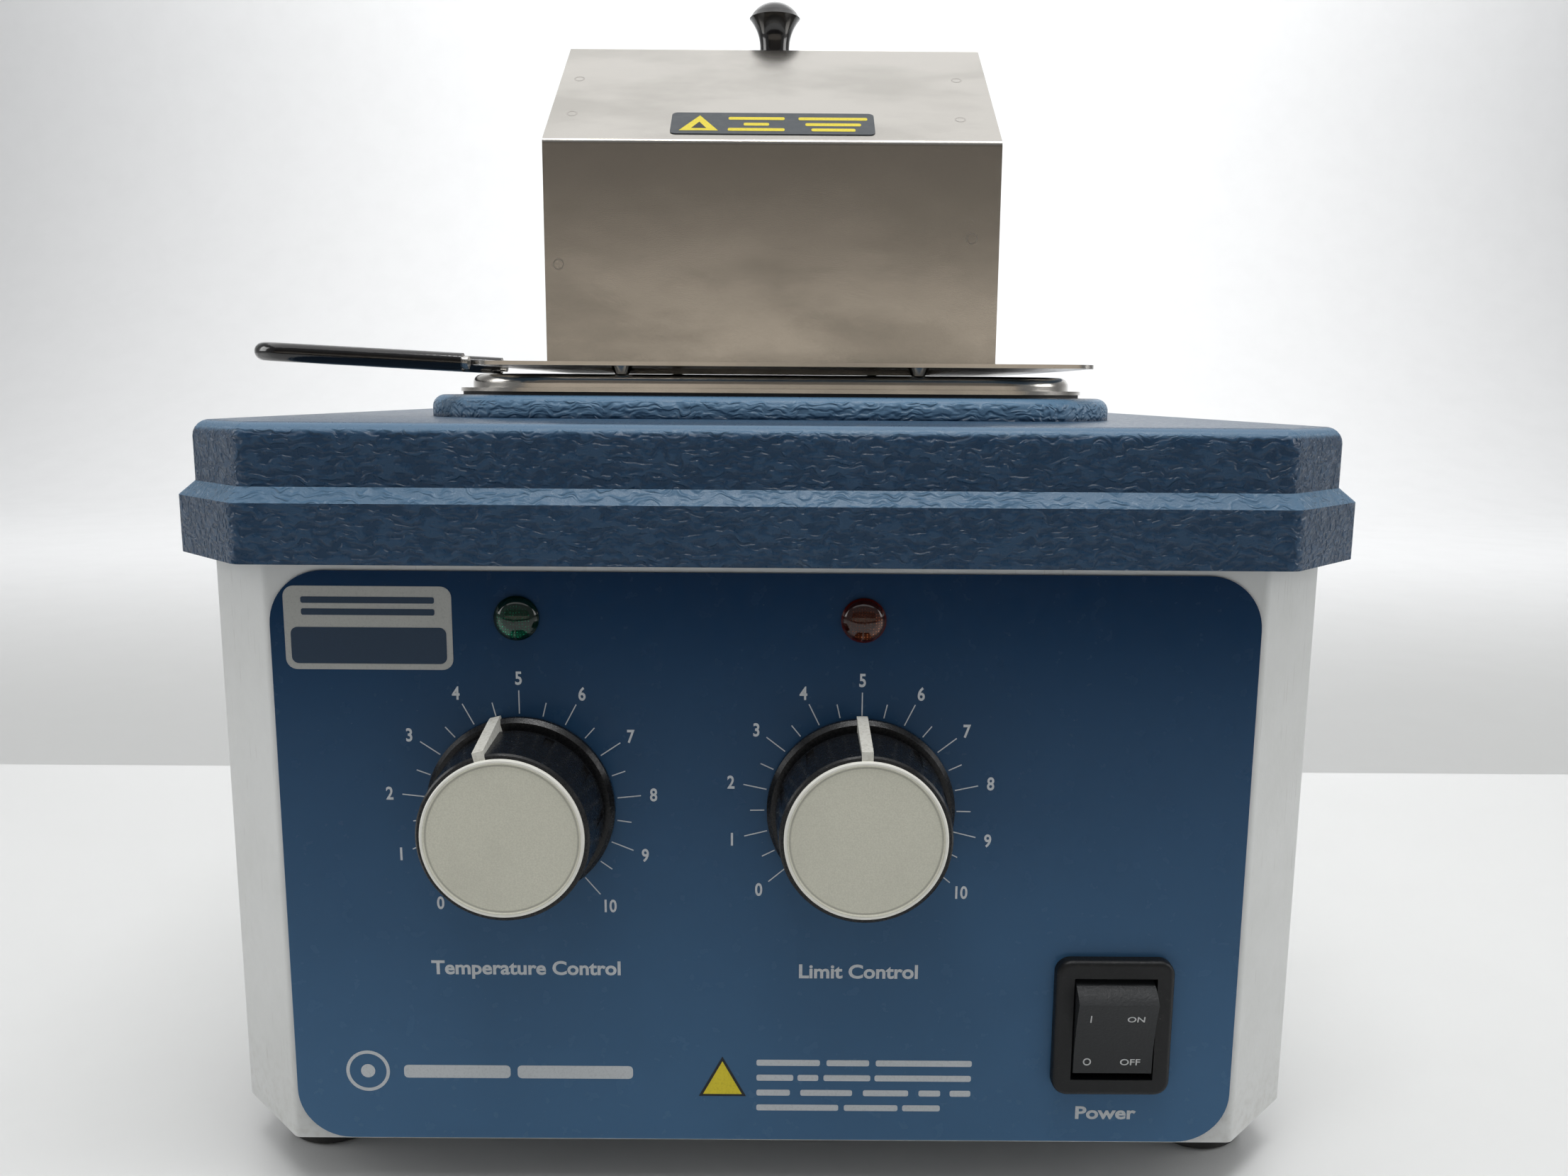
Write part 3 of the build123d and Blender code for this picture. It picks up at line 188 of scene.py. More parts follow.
    def bumps(self, *layers):
        """Stacks bumps, each a height socket with its real height in millimetres."""
        below = None
        for height, depth in layers:
            made = self.node("ShaderNodeBump")
            made.inputs["Distance"].default_value = depth * MM
            self.join(height, made.inputs["Height"])
            if below is not None:
                self.join(below, made.inputs["Normal"])
            below = made.outputs["Normal"]
        self.join(below, self.bsdf.inputs["Normal"])

    def colour(self, socket):
        self.join(socket, self.bsdf.inputs["Base Color"])

    def roughness(self, socket):
        self.join(socket, self.bsdf.inputs["Roughness"])


def scratches(s, stretch, turn, scale=1.0, share=0.62):
    """Sparse thin lines along one direction."""
    lines = s.noise(s.where(stretch, turn), scale, 2.0, 0.5)
    patches = s.noise(s.where(), 0.09, 2.0, 0.6)
    return s.times(s.span(lines, share, share + 0.05), s.span(patches, 0.5, 0.62))


def flecks(s, stretch, turn, scale, size, patch_scale, patch_range):
    """Small scattered flecks, from their outer to their inner size in cells, gathered in patches."""
    near = s.span(s.cells(s.where(stretch, turn), scale), *size)
    return s.times(near, s.span(s.noise(s.where(), patch_scale, 2.0), *patch_range))


# ---------------------------------------------------------------- materials
def painted_case():
    """Pale grey paint, a little mottled, with dust near the feet and a few upright marks."""
    s = Shader("case_paint_look", Coat_Weight=0.15, Coat_Roughness=0.25)
    dust_high, dust_low = 34, 10
    mottle = s.noise(s.where(), 0.035, 4.0, 0.6)
    tone = s.blend(s.span(mottle, 0.35, 0.7), (0.665, 0.675, 0.665), (0.625, 0.635, 0.62))
    dust = s.times(
        s.span(s.coordinate(2), dust_high, dust_low), s.span(s.noise(s.where(), 0.5, 4.0), 0.4, 0.75)
    )
    tone = s.blend(s.times(dust, 0.35), tone, (0.42, 0.40, 0.36))
    marks = scratches(s, (1.6, 1.6, 0.06), (0.2, 0.1, 0))
    tone = s.blend(s.times(marks, 0.3), tone, (0.40, 0.39, 0.37))
    s.colour(tone)
    s.roughness(s.span(s.noise(s.where(), 0.4, 3.0), 0.3, 0.7, 0.34, 0.46))
    s.bumps((s.noise(s.where(), 0.9, 2.0, 0.5), 0.03), (s.noise(s.where(), 7.0, 2.0), 0.004))
    return s.material


def leather_grain(s, level):
    """Wavy ridges: along the walls, upright on the cut corners, and across on the level faces."""
    wander = s.noise(s.where((0.26, 0.26, 0.22)), 1.0, 1.0, 0.5)

    def wrinkles(stretch, waving):
        """Ridges along the axes with a low stretch, waved sideways along the waving axes."""
        warp = s.node("ShaderNodeCombineXYZ")
        for axis in waving:
            s.join(s.times(wander, 3.0), warp.inputs[axis])
        moved = s.node("ShaderNodeVectorMath", operation="ADD")
        s.join(s.where(stretch), moved.inputs[0])
        s.join(warp.outputs[0], moved.inputs[1])
        return s.noise(moved.outputs[0], 1.0, 1.0, 0.4)

    corner = s.times(s.axis_share(0), s.axis_share(1))
    on_walls = wrinkles((0.27, 0.27, 1.40), (2,))
    on_corners = wrinkles((1.20, 1.20, 0.30), (0, 1))
    on_deck = wrinkles((0.28, 0.9, 0.9), (1, 2))
    grain = s.mix(s.span(corner, 0.25, 0.4), on_walls, on_corners)
    grain = s.mix(s.span(level, 0.55, 0.85), grain, on_deck)
    return s.span(grain, 0.34, 0.66)


def moulded_plastic():
    """Blue moulding with a leather grain, painted darker in its hollows and lighter on its ridges as shade
    and highlight. Painted sheen makes it paler on the boss and on upward slopes, and less on the level
    deck."""
    s = Shader("blue_moulding_look", Specular_IOR_Level=0.3)
    level = s.axis_share(2)
    height = leather_grain(s, level)
    broad = s.noise(s.where(), 0.028, 3.0, 0.6)
    tone = s.blend(s.span(broad, 0.35, 0.7), (0.016, 0.050, 0.104), (0.014, 0.045, 0.095))
    # Painted shade in the hollows of the grain and painted highlight on its ridges.
    tone = s.blend(s.span(height, 0.45, 0.0, 0.0, 0.3), tone, (0.009, 0.026, 0.056))
    tone = s.blend(s.span(height, 0.6, 1.0, 0.0, 0.2), tone, (0.070, 0.135, 0.225))
    # Painted sheen: paler on the boss and on upward slopes, and less on the level deck, as light from above
    # would show.
    boss = s.times(s.span(s.coordinate(2), boss_foot, boss_foot + 1.5), 0.75)
    painted_sheen = s.most(boss, s.span(level, 0.35, 0.65, 0.0, 0.60))
    painted_sheen = s.times(painted_sheen, s.span(level, 0.90, 0.985, 1.0, 0.22))
    tone = s.blend(painted_sheen, tone, (0.155, 0.285, 0.430))
    spots = s.span(s.cells(s.where(), 0.045), 0.16, 0.10)
    scuffs = s.times(spots, s.span(s.noise(s.where(), 0.5, 3.0), 0.45, 0.7))
    tone = s.blend(s.times(scuffs, 0.16), tone, (0.25, 0.27, 0.26))
    s.colour(tone)
    s.roughness(s.span(s.noise(s.where(), 1.1, 3.0), 0.3, 0.7, 0.26, 0.38))
    s.bumps((height, 0.34), (s.noise(s.where(), 2.6, 3.0), 0.05))
    return s.material


def overlay_film():
    """Navy film with fine scratches, lint and dust, painted darker towards its top and lighter towards its
    bottom as shade and bounced light.
    """
    s = Shader("overlay_film_look", Specular_IOR_Level=0.16)
    # The colour named ink here is painted light: darker at the top as shade, lighter lower down as light
    # bounced up from the table.
    downward = s.span(s.coordinate(2), overlay_high.z / MM, overlay_low.z / MM, smooth=False)
    ink = s.blend(downward, (0.002, 0.024, 0.070), (0.066, 0.158, 0.290))
    broad = s.noise(s.where(), 0.02, 3.0)
    tone = s.blend(s.span(broad, 0.35, 0.7, 0.0, 0.10), ink, (0.010, 0.030, 0.064))
    lint = flecks(s, (0.45, 1, 1.6), (0, 0.5, 0), 0.55, (0.05, 0.02), 0.11, (0.52, 0.6))
    falling = scratches(s, (0.05, 1.0, 6.0), (0, 0.7, 0), 1.1, 0.70)
    rising = scratches(s, (6.0, 1.0, 0.05), (0, 0.3, 0), 1.1, 0.70)
    dust = s.span(s.noise(s.where(), 3.4, 5.0, 0.8), 0.69, 0.73)
    worn = s.times(lint, 0.3)
    for marks, strength in ((falling, 0.04), (rising, 0.03), (dust, 0.07)):
        worn = s.most(worn, s.times(marks, strength))
    s.colour(s.blend(worn, tone, (0.34, 0.37, 0.40)))
    s.roughness(s.span(s.noise(s.where(), 0.25, 3.0), 0.3, 0.7, 0.20, 0.28))
    s.bumps((s.noise(s.where(), 0.045, 1.0), 0.05), (s.noise(s.where(), 5.0, 2.0), 0.004))
    return s.material


def brushed_steel():
    """Steel brushed along X, and along Y on the faces that look to the sides, with soft smudges."""
    s = Shader("stainless_look", Metallic=1.0)
    lines_x = s.noise(s.where((0.012, 5.0, 5.0)), 1.0, 4.0, 0.7)
    lines_y = s.noise(s.where((5.0, 0.012, 5.0)), 1.0, 4.0, 0.7)
    lines = s.mix(s.span(s.axis_share(0), 0.75, 0.8), lines_x, lines_y)
    clouds = s.noise(s.where((0.6, 1, 1.6)), 0.035, 4.0, 0.55, 0.2)
    tone = s.blend(s.span(clouds, 0.38, 0.66), (0.58, 0.555, 0.515), (0.46, 0.44, 0.405))
    tone = s.blend(s.span(lines, 0.35, 0.65, 0.0, 0.16), tone, (0.40, 0.385, 0.36))
    specks = s.span(s.noise(s.where(), 1.3, 4.0, 0.8), 0.68, 0.74)
    tone = s.blend(s.times(specks, 0.22), tone, (0.82, 0.81, 0.78))
    s.colour(tone)
    from_lines = s.span(lines, 0.3, 0.7, 0.0, 0.07)
    from_clouds = s.span(clouds, 0.35, 0.7, 0.13, 0.21)
    s.roughness(s.math("ADD", from_lines, from_clouds))
    s.bumps((lines, 0.012), (s.noise(s.where(), 0.035, 2.0), 0.10))
    return s.material


def turned_metal(name, colour, rough=0.3):
    """Machined metal, duller in broad patches, with a fine tooth."""
    s = Shader(name, Metallic=1.0)
    fine = s.noise(s.where((4, 4, 4)), 1.0, 4.0, 0.7)
    broad = s.noise(s.where(), 0.12, 3.0)
    dark = tuple(c * 0.72 for c in colour)
    s.colour(s.blend(s.span(broad, 0.4, 0.75), colour, dark))
    s.roughness(s.span(fine, 0.3, 0.7, rough - 0.06, rough + 0.1))
    s.bumps((fine, 0.01))
    return s.material


def zinc_sheet():
    """Zinc-coated pan, with the spangle of its crystals."""
    s = Shader("pan_zinc_look", Metallic=1.0)
    spangle = s.cells(s.where((1, 1, 1)), 0.09)
    s.colour(s.blend(s.span(spangle, 0.1, 0.8), (0.62, 0.63, 0.64), (0.42, 0.44, 0.46)))
    s.roughness(s.span(s.noise(s.where(), 0.2, 3.0), 0.3, 0.7, 0.34, 0.52))
    s.bumps((s.noise(s.where(), 1.5, 3.0), 0.02))
    return s.material


def black_plastic(name, tone=(0.008, 0.0085, 0.0095), grain=1.6, depth=0.02, rough=(0.22, 0.32), dusty=0.4):
    """Dark moulded plastic with a fine grain, a dusty haze and pale lint."""
    s = Shader(name, Specular_IOR_Level=0.3)
    fine = s.noise(s.where(), grain, 3.0, 0.6)
    haze = s.span(s.noise(s.where(), 0.6, 5.0, 0.75), 0.55, 0.8)
    colour = s.blend(s.times(haze, dusty * 0.30), tone, (0.20, 0.20, 0.19))
    lint = flecks(s, (0.5, 0.5, 1.1), (0.5, 0.3, 0.2), 1.1, (0.09, 0.04), 0.18, (0.5, 0.62))
    s.colour(s.blend(s.times(lint, dusty), colour, (0.36, 0.35, 0.33)))
    s.roughness(s.span(fine, 0.3, 0.7, *rough))
    s.bumps((fine, depth))
    return s.material


def knob_cap_plastic(name, centre):
    """Beige-grey cap with a fine speckle, a thin paler rim and a dark line inside it."""
    s = Shader(name, Specular_IOR_Level=0.4)
    radius = s.distance_from(centre)
    groove_inner, groove_outer, rim_radius = 14.2, 14.8, 14.95
    groove_fade, edge_fade = 0.25, 0.2
    speckle = s.noise(s.where(), 3.2, 4.0, 0.8)
    tone = s.blend(s.span(speckle, 0.36, 0.66), (0.62, 0.61, 0.51), (0.72, 0.71, 0.60))
    broad = s.noise(s.where(), 0.07, 3.0)
    tone = s.blend(s.span(broad, 0.45, 0.75, 0.0, 0.25), tone, (0.52, 0.51, 0.43))
    lint = flecks(s, (0.35, 1, 0.9), (0, 0.8, 0), 0.8, (0.07, 0.03), 0.2, (0.52, 0.62))
    tone = s.blend(s.times(lint, 0.5), tone, (0.75, 0.74, 0.70))
    groove_starts = s.span(radius, groove_inner, groove_inner + groove_fade)
    groove_ends = s.span(radius, groove_outer, groove_outer - edge_fade)
    groove = s.times(groove_starts, groove_ends)
    tone = s.blend(s.times(groove, 0.45), tone, (0.20, 0.195, 0.17))
    s.colour(s.blend(s.span(radius, rim_radius, rim_radius + edge_fade), tone, (0.86, 0.85, 0.78)))
    s.roughness(s.span(speckle, 0.3, 0.7, 0.42, 0.55))
    s.bumps((speckle, 0.03))
    return s.material


def ivory_plastic():
    """Ivory of the pointers, a little dirty in spots."""
    s = Shader("pointer_ivory_look", Specular_IOR_Level=0.4)
    fine = s.noise(s.where(), 1.3, 4.0, 0.7)
    s.colour(s.blend(s.span(fine, 0.4, 0.75), (0.74, 0.73, 0.67), (0.55, 0.535, 0.47)))
    s.roughness(s.span(fine, 0.3, 0.7, 0.38, 0.5))
    s.bumps((fine, 0.02))
    return s.material


def lens_plastic(name, centre, deep, glint, ring, lit_side):
    """Glossy dark lens over a moulded reflector, seen as rows of small facets, with painted light glinting
    on the facets of one side.
    """
    s = Shader(name, Specular_IOR_Level=0.5, IOR=1.49)
    radius = s.distance_from(centre)
    inner_radius, crescent_radius, outer_radius = 2.6, 3.4, 3.9
    facets = s.cells(s.where((1, 0.001, 1)), 1.75, randomness=0.15)
    dots = s.span(facets, 0.42, 0.12)
    across = s.node("ShaderNodeVectorMath", operation="DOT_PRODUCT")
    s.join(s.where(), across.inputs[0])
    across.inputs[1].default_value = (lit_side[0], 0, lit_side[1])
    middle = (centre[0] * lit_side[0] + centre[2] * lit_side[1]) / MM
    near_side = s.span(across.outputs["Value"], middle - 0.6, middle + 3.2)
    # Painted light: a bright crescent of facets on the lit side and faint dots inside take the glint
    # colour.
    crescent = s.times(s.span(radius, 1.8, 3.0), s.span(radius, outer_radius, crescent_radius))
    inside = s.times(s.span(radius, 3.5, inner_radius), 0.12)
    lit = s.math("ADD", s.times(crescent, near_side), inside)
    tone = s.blend(s.times(s.math("ADD", dots, 0.05), lit), deep, glint)
    edge = s.times(s.span(radius, outer_radius, outer_radius + 0.5), 0.5)
    s.colour(s.blend(edge, tone, ring))
    s.roughness(s.span(s.noise(s.where(), 1.5, 2.0), 0.3, 0.7, 0.05, 0.11))
    s.bumps((s.noise(s.where(), 0.5, 1.0), 0.03))
    return s.material


def plain_look(name, colour, second, scale=0.6, rough=(0.4, 0.6), depth=0.02, **sockets):
    """Two tones of one colour, mixed by noise, with a matching fine bump."""
    s = Shader(name, **sockets)
    fine = s.noise(s.where(), scale, 5.0, 0.65)
    s.colour(s.blend(s.span(fine, 0.38, 0.68), colour, second))
    s.roughness(s.span(fine, 0.3, 0.7, *rough))
    s.bumps((s.noise(s.where(), scale * 4, 3.0), depth))
    return s.material


def fibre_blanket():
    """Yellowish glass-fibre blanket of matted strands."""
    s = Shader("glass_fibre_look", Roughness=0.9, Sheen_Weight=0.3)
    strands = s.noise(s.where((0.4, 2.2, 0.9), (0.4, 0.2, 0.6)), 0.8, 6.0, 0.8, 1.5)
    s.colour(s.blend(s.span(strands, 0.35, 0.65), (0.78, 0.74, 0.55), (0.60, 0.54, 0.36)))
    s.bumps((strands, 0.6))
    return s.material


def printed_ink(name, colour, worn):
    """Screen-printed ink, worn a little thinner in spots."""
    s = Shader(name, Specular_IOR_Level=0.3)
    fine = s.noise(s.where(), 2.2, 4.0, 0.7)
    s.colour(s.blend(s.span(fine, 0.45, 0.75), colour, worn))
    s.roughness(s.span(fine, 0.3, 0.7, 0.4, 0.55))
    return s.material


ink_white = printed_ink("print_grey_look", (0.60, 0.63, 0.65), (0.50, 0.53, 0.55))
ink_yellow = printed_ink("print_yellow_look", (0.80, 0.66, 0.035), (0.66, 0.53, 0.03))
ink_dark = printed_ink("print_dark_look", (0.016, 0.020, 0.026), (0.026, 0.032, 0.040))
ink_plate = printed_ink("plate_grey_look", (0.40, 0.405, 0.385), (0.34, 0.345, 0.33))
ink_navy = printed_ink("plate_navy_look", (0.017, 0.037, 0.070), (0.021, 0.044, 0.080))
ink_rocker = printed_ink("rocker_ink_look", (0.60, 0.61, 0.61), (0.48, 0.49, 0.49))

# Two tones, noise scale, roughness range, bump height and any other sockets, by CAD slot
PLAIN_LOOKS = {
    "foot_rubber": ((0.022, 0.022, 0.023), (0.045, 0.044, 0.042), 0.5, (0.6, 0.85), 0.05, {}),
    "silicone": ((0.020, 0.020, 0.021), (0.032, 0.031, 0.030), 0.8, (0.5, 0.7), 0.02, {}),
    "mica": ((0.30, 0.24, 0.16), (0.45, 0.37, 0.25), 0.3, (0.3, 0.5), 0.05, {}),
    "stat_case": ((0.17, 0.12, 0.08), (0.12, 0.085, 0.06), 0.9, (0.35, 0.55), 0.03, {}),
    "lamp_glass": ((0.85, 0.86, 0.86), (0.78, 0.79, 0.80), 0.5, (0.05, 0.12), 0.005, {}),
    "wire_cover": ((0.025, 0.025, 0.027), (0.05, 0.05, 0.052), 0.7, (0.4, 0.6), 0.02, {}),
    "vinyl": (
        (0.004, 0.004, 0.0045), (0.007, 0.007, 0.0075), 0.22, (0.07, 0.14), 0.05, {"Coat_Weight": 0.4}
    ),
    "phenolic": (
        (0.006, 0.006, 0.0065), (0.012, 0.011, 0.011), 0.5, (0.10, 0.18), 0.01, {"Coat_Weight": 0.5}
    ),
    "label_film": ((0.026, 0.036, 0.046), (0.034, 0.045, 0.056), 0.5, (0.35, 0.5), 0.01, {}),
}
# Colour and roughness, by CAD slot
METAL_LOOKS = {
    "bright_steel": ((0.60, 0.59, 0.57), 0.28),
    "clamp_aluminium": ((0.72, 0.73, 0.74), 0.42),
    "copper": ((0.80, 0.40, 0.25), 0.32),
    "terminal_brass": ((0.78, 0.60, 0.30), 0.3),
}
SLOT_LOOKS = {
    "case_paint": painted_case(),
    "pan_zinc": zinc_sheet(),
    "blue_moulding": moulded_plastic(),
    "overlay_film": overlay_film(),
    "stainless": brushed_steel(),
    "glass_fibre": fibre_blanket(),
    "lens_green": lens_plastic(
        "lens_green_look", span("heat_pilot_lens")[2],
        (0.0, 0.010, 0.006), (0.05, 0.95, 0.50), (0.0, 0.008, 0.005), (-0.45, -0.9),
    ),
    "lens_red": lens_plastic(
        "lens_red_look", span("limit_pilot_lens")[2],
        (0.020, 0.0025, 0.001), (1.0, 0.32, 0.12), (0.10, 0.006, 0.004), (0.6, -0.8),
    ),
    "black_moulding": black_plastic("knob_black_look"),
    "pointer_ivory": ivory_plastic(),
}
for slot_name, (colour, second, scale, rough, depth, sockets) in PLAIN_LOOKS.items():
    SLOT_LOOKS[slot_name] = plain_look(f"{slot_name}_look", colour, second, scale, rough, depth, **sockets)
for slot_name, (colour, rough) in METAL_LOOKS.items():
    SLOT_LOOKS[slot_name] = turned_metal(f"{slot_name}_look", colour, rough)

# Nodes that look different from the rest of their slot
NODE_LOOKS = {
    "switch_housing": black_plastic(
        "bezel_black_look", (0.008, 0.0088, 0.0098), 2.2, 0.05, (0.36, 0.5), 0.25
    ),
    "rocker": black_plastic("rocker_grey_look", (0.024, 0.026, 0.028), 1.7, 0.09, (0.40, 0.52), 0.12),
    "temperature_knob_cap": knob_cap_plastic("temperature_cap_look", dial_centres["temperature"]),
    "limit_knob_cap": knob_cap_plastic("limit_cap_look", dial_centres["limit"]),
}


def dress_cad_nodes():
    """Gives every carried-over CAD node its procedural material."""
    for name, node in NODES.items():
        for slot in node.material_slots:
            slot.material = NODE_LOOKS.get(name) or SLOT_LOOKS[slot.material.name]


# ---------------------------------------------------------------- flat pieces
class Face:
    """A flat place on the object: an origin, with right, up and outward directions."""

    def __init__(self, origin, right, up):
        self.origin = Vector(origin)
        self.right = Vector(right).normalized()
        self.up = Vector(up).normalized()
        self.out = self.right.cross(self.up)

    def at(self, u, v, w=0.0):
        """Point u right, v up and w out, all in millimetres."""
        return self.origin + (self.right * u + self.up * v + self.out * w) * MM

    def moved(self, u, v, w=0.0):
        """The same face with its origin at another point."""
        return Face(self.at(u, v, w), self.right, self.up)


panel = Face((0, panel_front_y, 0), (1, 0, 0), (0, 0, 1))
PRINT_LAYER = (-0.03, 0.05)        # from just inside the surface to just above it, in millimetres
OVERPRINT_LAYER = (0.02, 0.09)     # ink on top of ink
LABEL_LAYER = (-0.02, 0.03)
LABEL_OVERPRINT_LAYER = (-0.02, 0.05)
WELD_LAYER = (-0.03, 0.025)
ON_PANEL = ("chassis", "overlay_film")          # body and slot of what is printed there
ON_LABEL = ("cover", "label_film")
ON_COVER = ("cover", "stainless")
ON_ROCKER = ("power_rocker", "black_moulding")


def rounded(width, height, radius, steps=8):
    """Outline of a rounded rectangle about its middle, anticlockwise."""
    outline = []
    for quarter, (sx, sy) in enumerate(((1, 1), (-1, 1), (-1, -1), (1, -1))):
        for step in range(steps + 1):
            angle = (quarter + step / steps) * pi / 2
            outline.append((
                sx * (width / 2 - radius) + radius * cos(angle),
                sy * (height / 2 - radius) + radius * sin(angle),
            ))
    return outline


def shifted(outline, u, v):
    """The outline moved u right and v up."""
    return [(x + u, y + v) for x, y in outline]


def circle(radius, steps=48, u=0.0, v=0.0):
    """Points round a circle, anticlockwise."""
    turns = [2 * pi * k / steps for k in range(steps)]
    return [(u + radius * cos(turn), v + radius * sin(turn)) for turn in turns]


def bar(width, height, u, v):
    """Plain bar with softened corners, from its lower left corner."""
    return shifted(rounded(width, height, min(width, height) * 0.3, 3), u + width / 2, v + height / 2)


def finish_piece(mesh, name, material, place):
    """Writes the mesh out as a named piece on the body of its place; the place's slot is not used."""
    body, slot = place
    data = bpy.data.meshes.new(name)
    mesh.to_mesh(data)
    mesh.free()
    data.materials.append(material)
    piece = bpy.data.objects.new(name, data)
    bpy.context.scene.collection.objects.link(piece)
    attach(piece, body)


def printed(name, face, outlines, material, place, layer=PRINT_LAYER):
    """Thin closed plates with the given outlines, standing on a face."""
    back, front = layer
    mesh = bmesh.new()
    for outline in outlines:
        lower = [mesh.verts.new(face.at(u, v, back)) for u, v in outline]
        upper = [mesh.verts.new(face.at(u, v, front)) for u, v in outline]
        mesh.faces.new(upper)
        mesh.faces.new(lower[::-1])
        for k in range(len(outline)):
            following = (k + 1) % len(outline)
            mesh.faces.new((lower[k], lower[following], upper[following], upper[k]))
    finish_piece(mesh, name, material, place)


def ring_piece(name, face, rings, material, place, layer=PRINT_LAYER, steps=64):
    """Closed flat rings: each is a centre, an inner and an outer radius."""
    back, front = layer
    mesh = bmesh.new()
    for u, v, inner, outer in rings:
        loops = []
        for radius, height in ((inner, back), (inner, front), (outer, front), (outer, back)):
            loops.append([mesh.verts.new(face.at(x, y, height)) for x, y in circle(radius, steps, u, v)])
        for a, b in zip(loops, loops[1:] + loops[:1]):
            for k in range(steps):
                following = (k + 1) % steps
                mesh.faces.new((a[k], b[k], b[following], a[following]))
    bmesh.ops.recalc_face_normals(mesh, faces=mesh.faces)
    finish_piece(mesh, name, material, place)


CAP_SHARE = 0.729      # height of a capital in the built-in font, for size 1
CONDENSED = 0.82       # width of lettering whose width isn't given, against the font's own
WELD_DISTANCE = 1e-7   # joins the vertices that text meshes leave doubled, in metres


def lettering(name, face, words, material, place, weight):
    """Generic words or numbers: each is text, middle u, baseline v, capital height and width (or None)."""
    back, front = PRINT_LAYER
    mesh = bmesh.new()
    for text, u, v, height, width in words:
        curve = bpy.data.curves.new(name, "FONT")
        curve.body = text
        curve.size = height / CAP_SHARE
        curve.extrude = (front - back) / 2
        curve.offset = weight
        curve.resolution_u = 4
        holder = bpy.data.objects.new(name, curve)
        bpy.context.scene.collection.objects.link(holder)
        bpy.context.view_layer.update()
        evaluated = holder.evaluated_get(bpy.context.evaluated_depsgraph_get())
        flat = bpy.data.meshes.new_from_object(evaluated)
        xs = [point.co.x for point in flat.vertices]
        low, high = min(xs), max(xs)
        squeeze = width / (high - low) if width else CONDENSED
        for point in flat.vertices:
            x = (point.co.x - (low + high) / 2) * squeeze
            point.co = face.at(u + x, v + point.co.y, point.co.z + (front + back) / 2)
        mesh.from_mesh(flat)
        bpy.data.objects.remove(holder)
        bpy.data.curves.remove(curve)
        bpy.data.meshes.remove(flat)
    bmesh.ops.remove_doubles(mesh, verts=mesh.verts, dist=WELD_DISTANCE)
    finish_piece(mesh, name, material, place)


# ---------------------------------------------------------------- panel print
TICK_INNER, TICK_OUTER, HALF_TICK_OUTER = 19.6, 24.4, 22.5
TICK_WIDTH = 0.22
NUMBER_RADIUS = 27.0
NUMBER_HEIGHT = 2.75
WIDE_NUMBER_REACH = 0.6        # the two-digit 10 stands this much further out
UNITS = 10
NUMBER_WEIGHT, CAPTION_WEIGHT, ROCKER_WEIGHT = 0.08, 0.11, 0.02


def dial_scale(name, centre, degrees_per_unit):
    """Ticks each half unit and numbers 0 to 10, with 5 at the top."""
    face = panel.moved(centre.x / MM, centre.z / MM)
    ticks, numbers = [], []
    for half in range(2 * UNITS + 1):
        angle = radians(90 - (half - UNITS) / 2 * degrees_per_unit)
        whole = half % 2 == 0
        outer = TICK_OUTER if whole else HALF_TICK_OUTER
        side = (-sin(angle) * TICK_WIDTH / 2, cos(angle) * TICK_WIDTH / 2)
        corners = ((TICK_INNER, -1), (outer, -1), (outer, 1), (TICK_INNER, 1))
        ticks.append([(r * cos(angle) + w * side[0], r * sin(angle) + w * side[1]) for r, w in corners])
        if whole:
            reach = NUMBER_RADIUS + (WIDE_NUMBER_REACH if half == 2 * UNITS else 0)
            baseline = reach * sin(angle) - NUMBER_HEIGHT / 2
            numbers.append((str(half // 2), reach * cos(angle), baseline, NUMBER_HEIGHT, None))
    printed(f"{name}_ticks", face, ticks, ink_white, ON_PANEL)
    lettering(f"{name}_numbers", face, numbers, ink_white, ON_PANEL, NUMBER_WEIGHT)


def panel_captions():
    """Generic names of the two controls and of the switch."""
    temperature_x = dial_centres["temperature"].x / MM
    limit_x = dial_centres["limit"].x / MM
    words = [
        ("Temperature Control", temperature_x - 0.1, 49.2, 3.05, 39.4),
        ("Limit Control", limit_x + 0.2, 48.8, 3.05, 24.8),
        ("Power", switch_x / MM - 0.1, 17.2, 2.9, 12.9),
    ]
    lettering("control_captions", panel, words, ink_white, ON_PANEL, CAPTION_WEIGHT)


def blank_badge():
    """Plain rounded plate in the corner, with an empty dark field and no lettering."""
    middle_x, middle_z = -79.2, 122.55
    width, height, radius = 33.4, 16.9, 2.2
    border, field_height, field_radius = 1.2, 7.4, 1.4
    line_length, line_width, line_left = 26.5, 1.3, -13.2
    face = panel.moved(middle_x, middle_z)
    printed("blank_badge", face, [rounded(width, height, radius)], ink_plate, ON_PANEL)
    field = rounded(width - 2 * border, field_height, field_radius)
    field = shifted(field, 0, -height / 2 + border + field_height / 2)
    printed("blank_badge_field", face, [field], ink_navy, ON_PANEL, OVERPRINT_LAYER)
    lines = [bar(line_length, line_width, line_left, v) for v in (2.6, 5.0)]
    printed("blank_badge_lines", face, lines, ink_navy, ON_PANEL, OVERPRINT_LAYER)


def blank_mark():
    """Plain ring and a row of plain blocks where the panel carries its lower mark."""
    middle_x, middle_z = -83.7, 27.2
    ring_inner, ring_outer, dot_radius = 3.9, 4.6, 1.5
    block_height, block_foot = 2.9, -1.5
    face = panel.moved(middle_x, middle_z)
    ring_piece("blank_mark_ring", face, [(0, 0, ring_inner, ring_outer)], ink_white, ON_PANEL)
    printed("blank_mark_dot", face, [circle(dot_radius)], ink_white, ON_PANEL)
    blocks = [bar(length, block_height, left, block_foot) for length, left in ((22.5, 7.6), (24.4, 31.6))]
    printed("blank_mark_bars", face, blocks, ink_white, ON_PANEL)


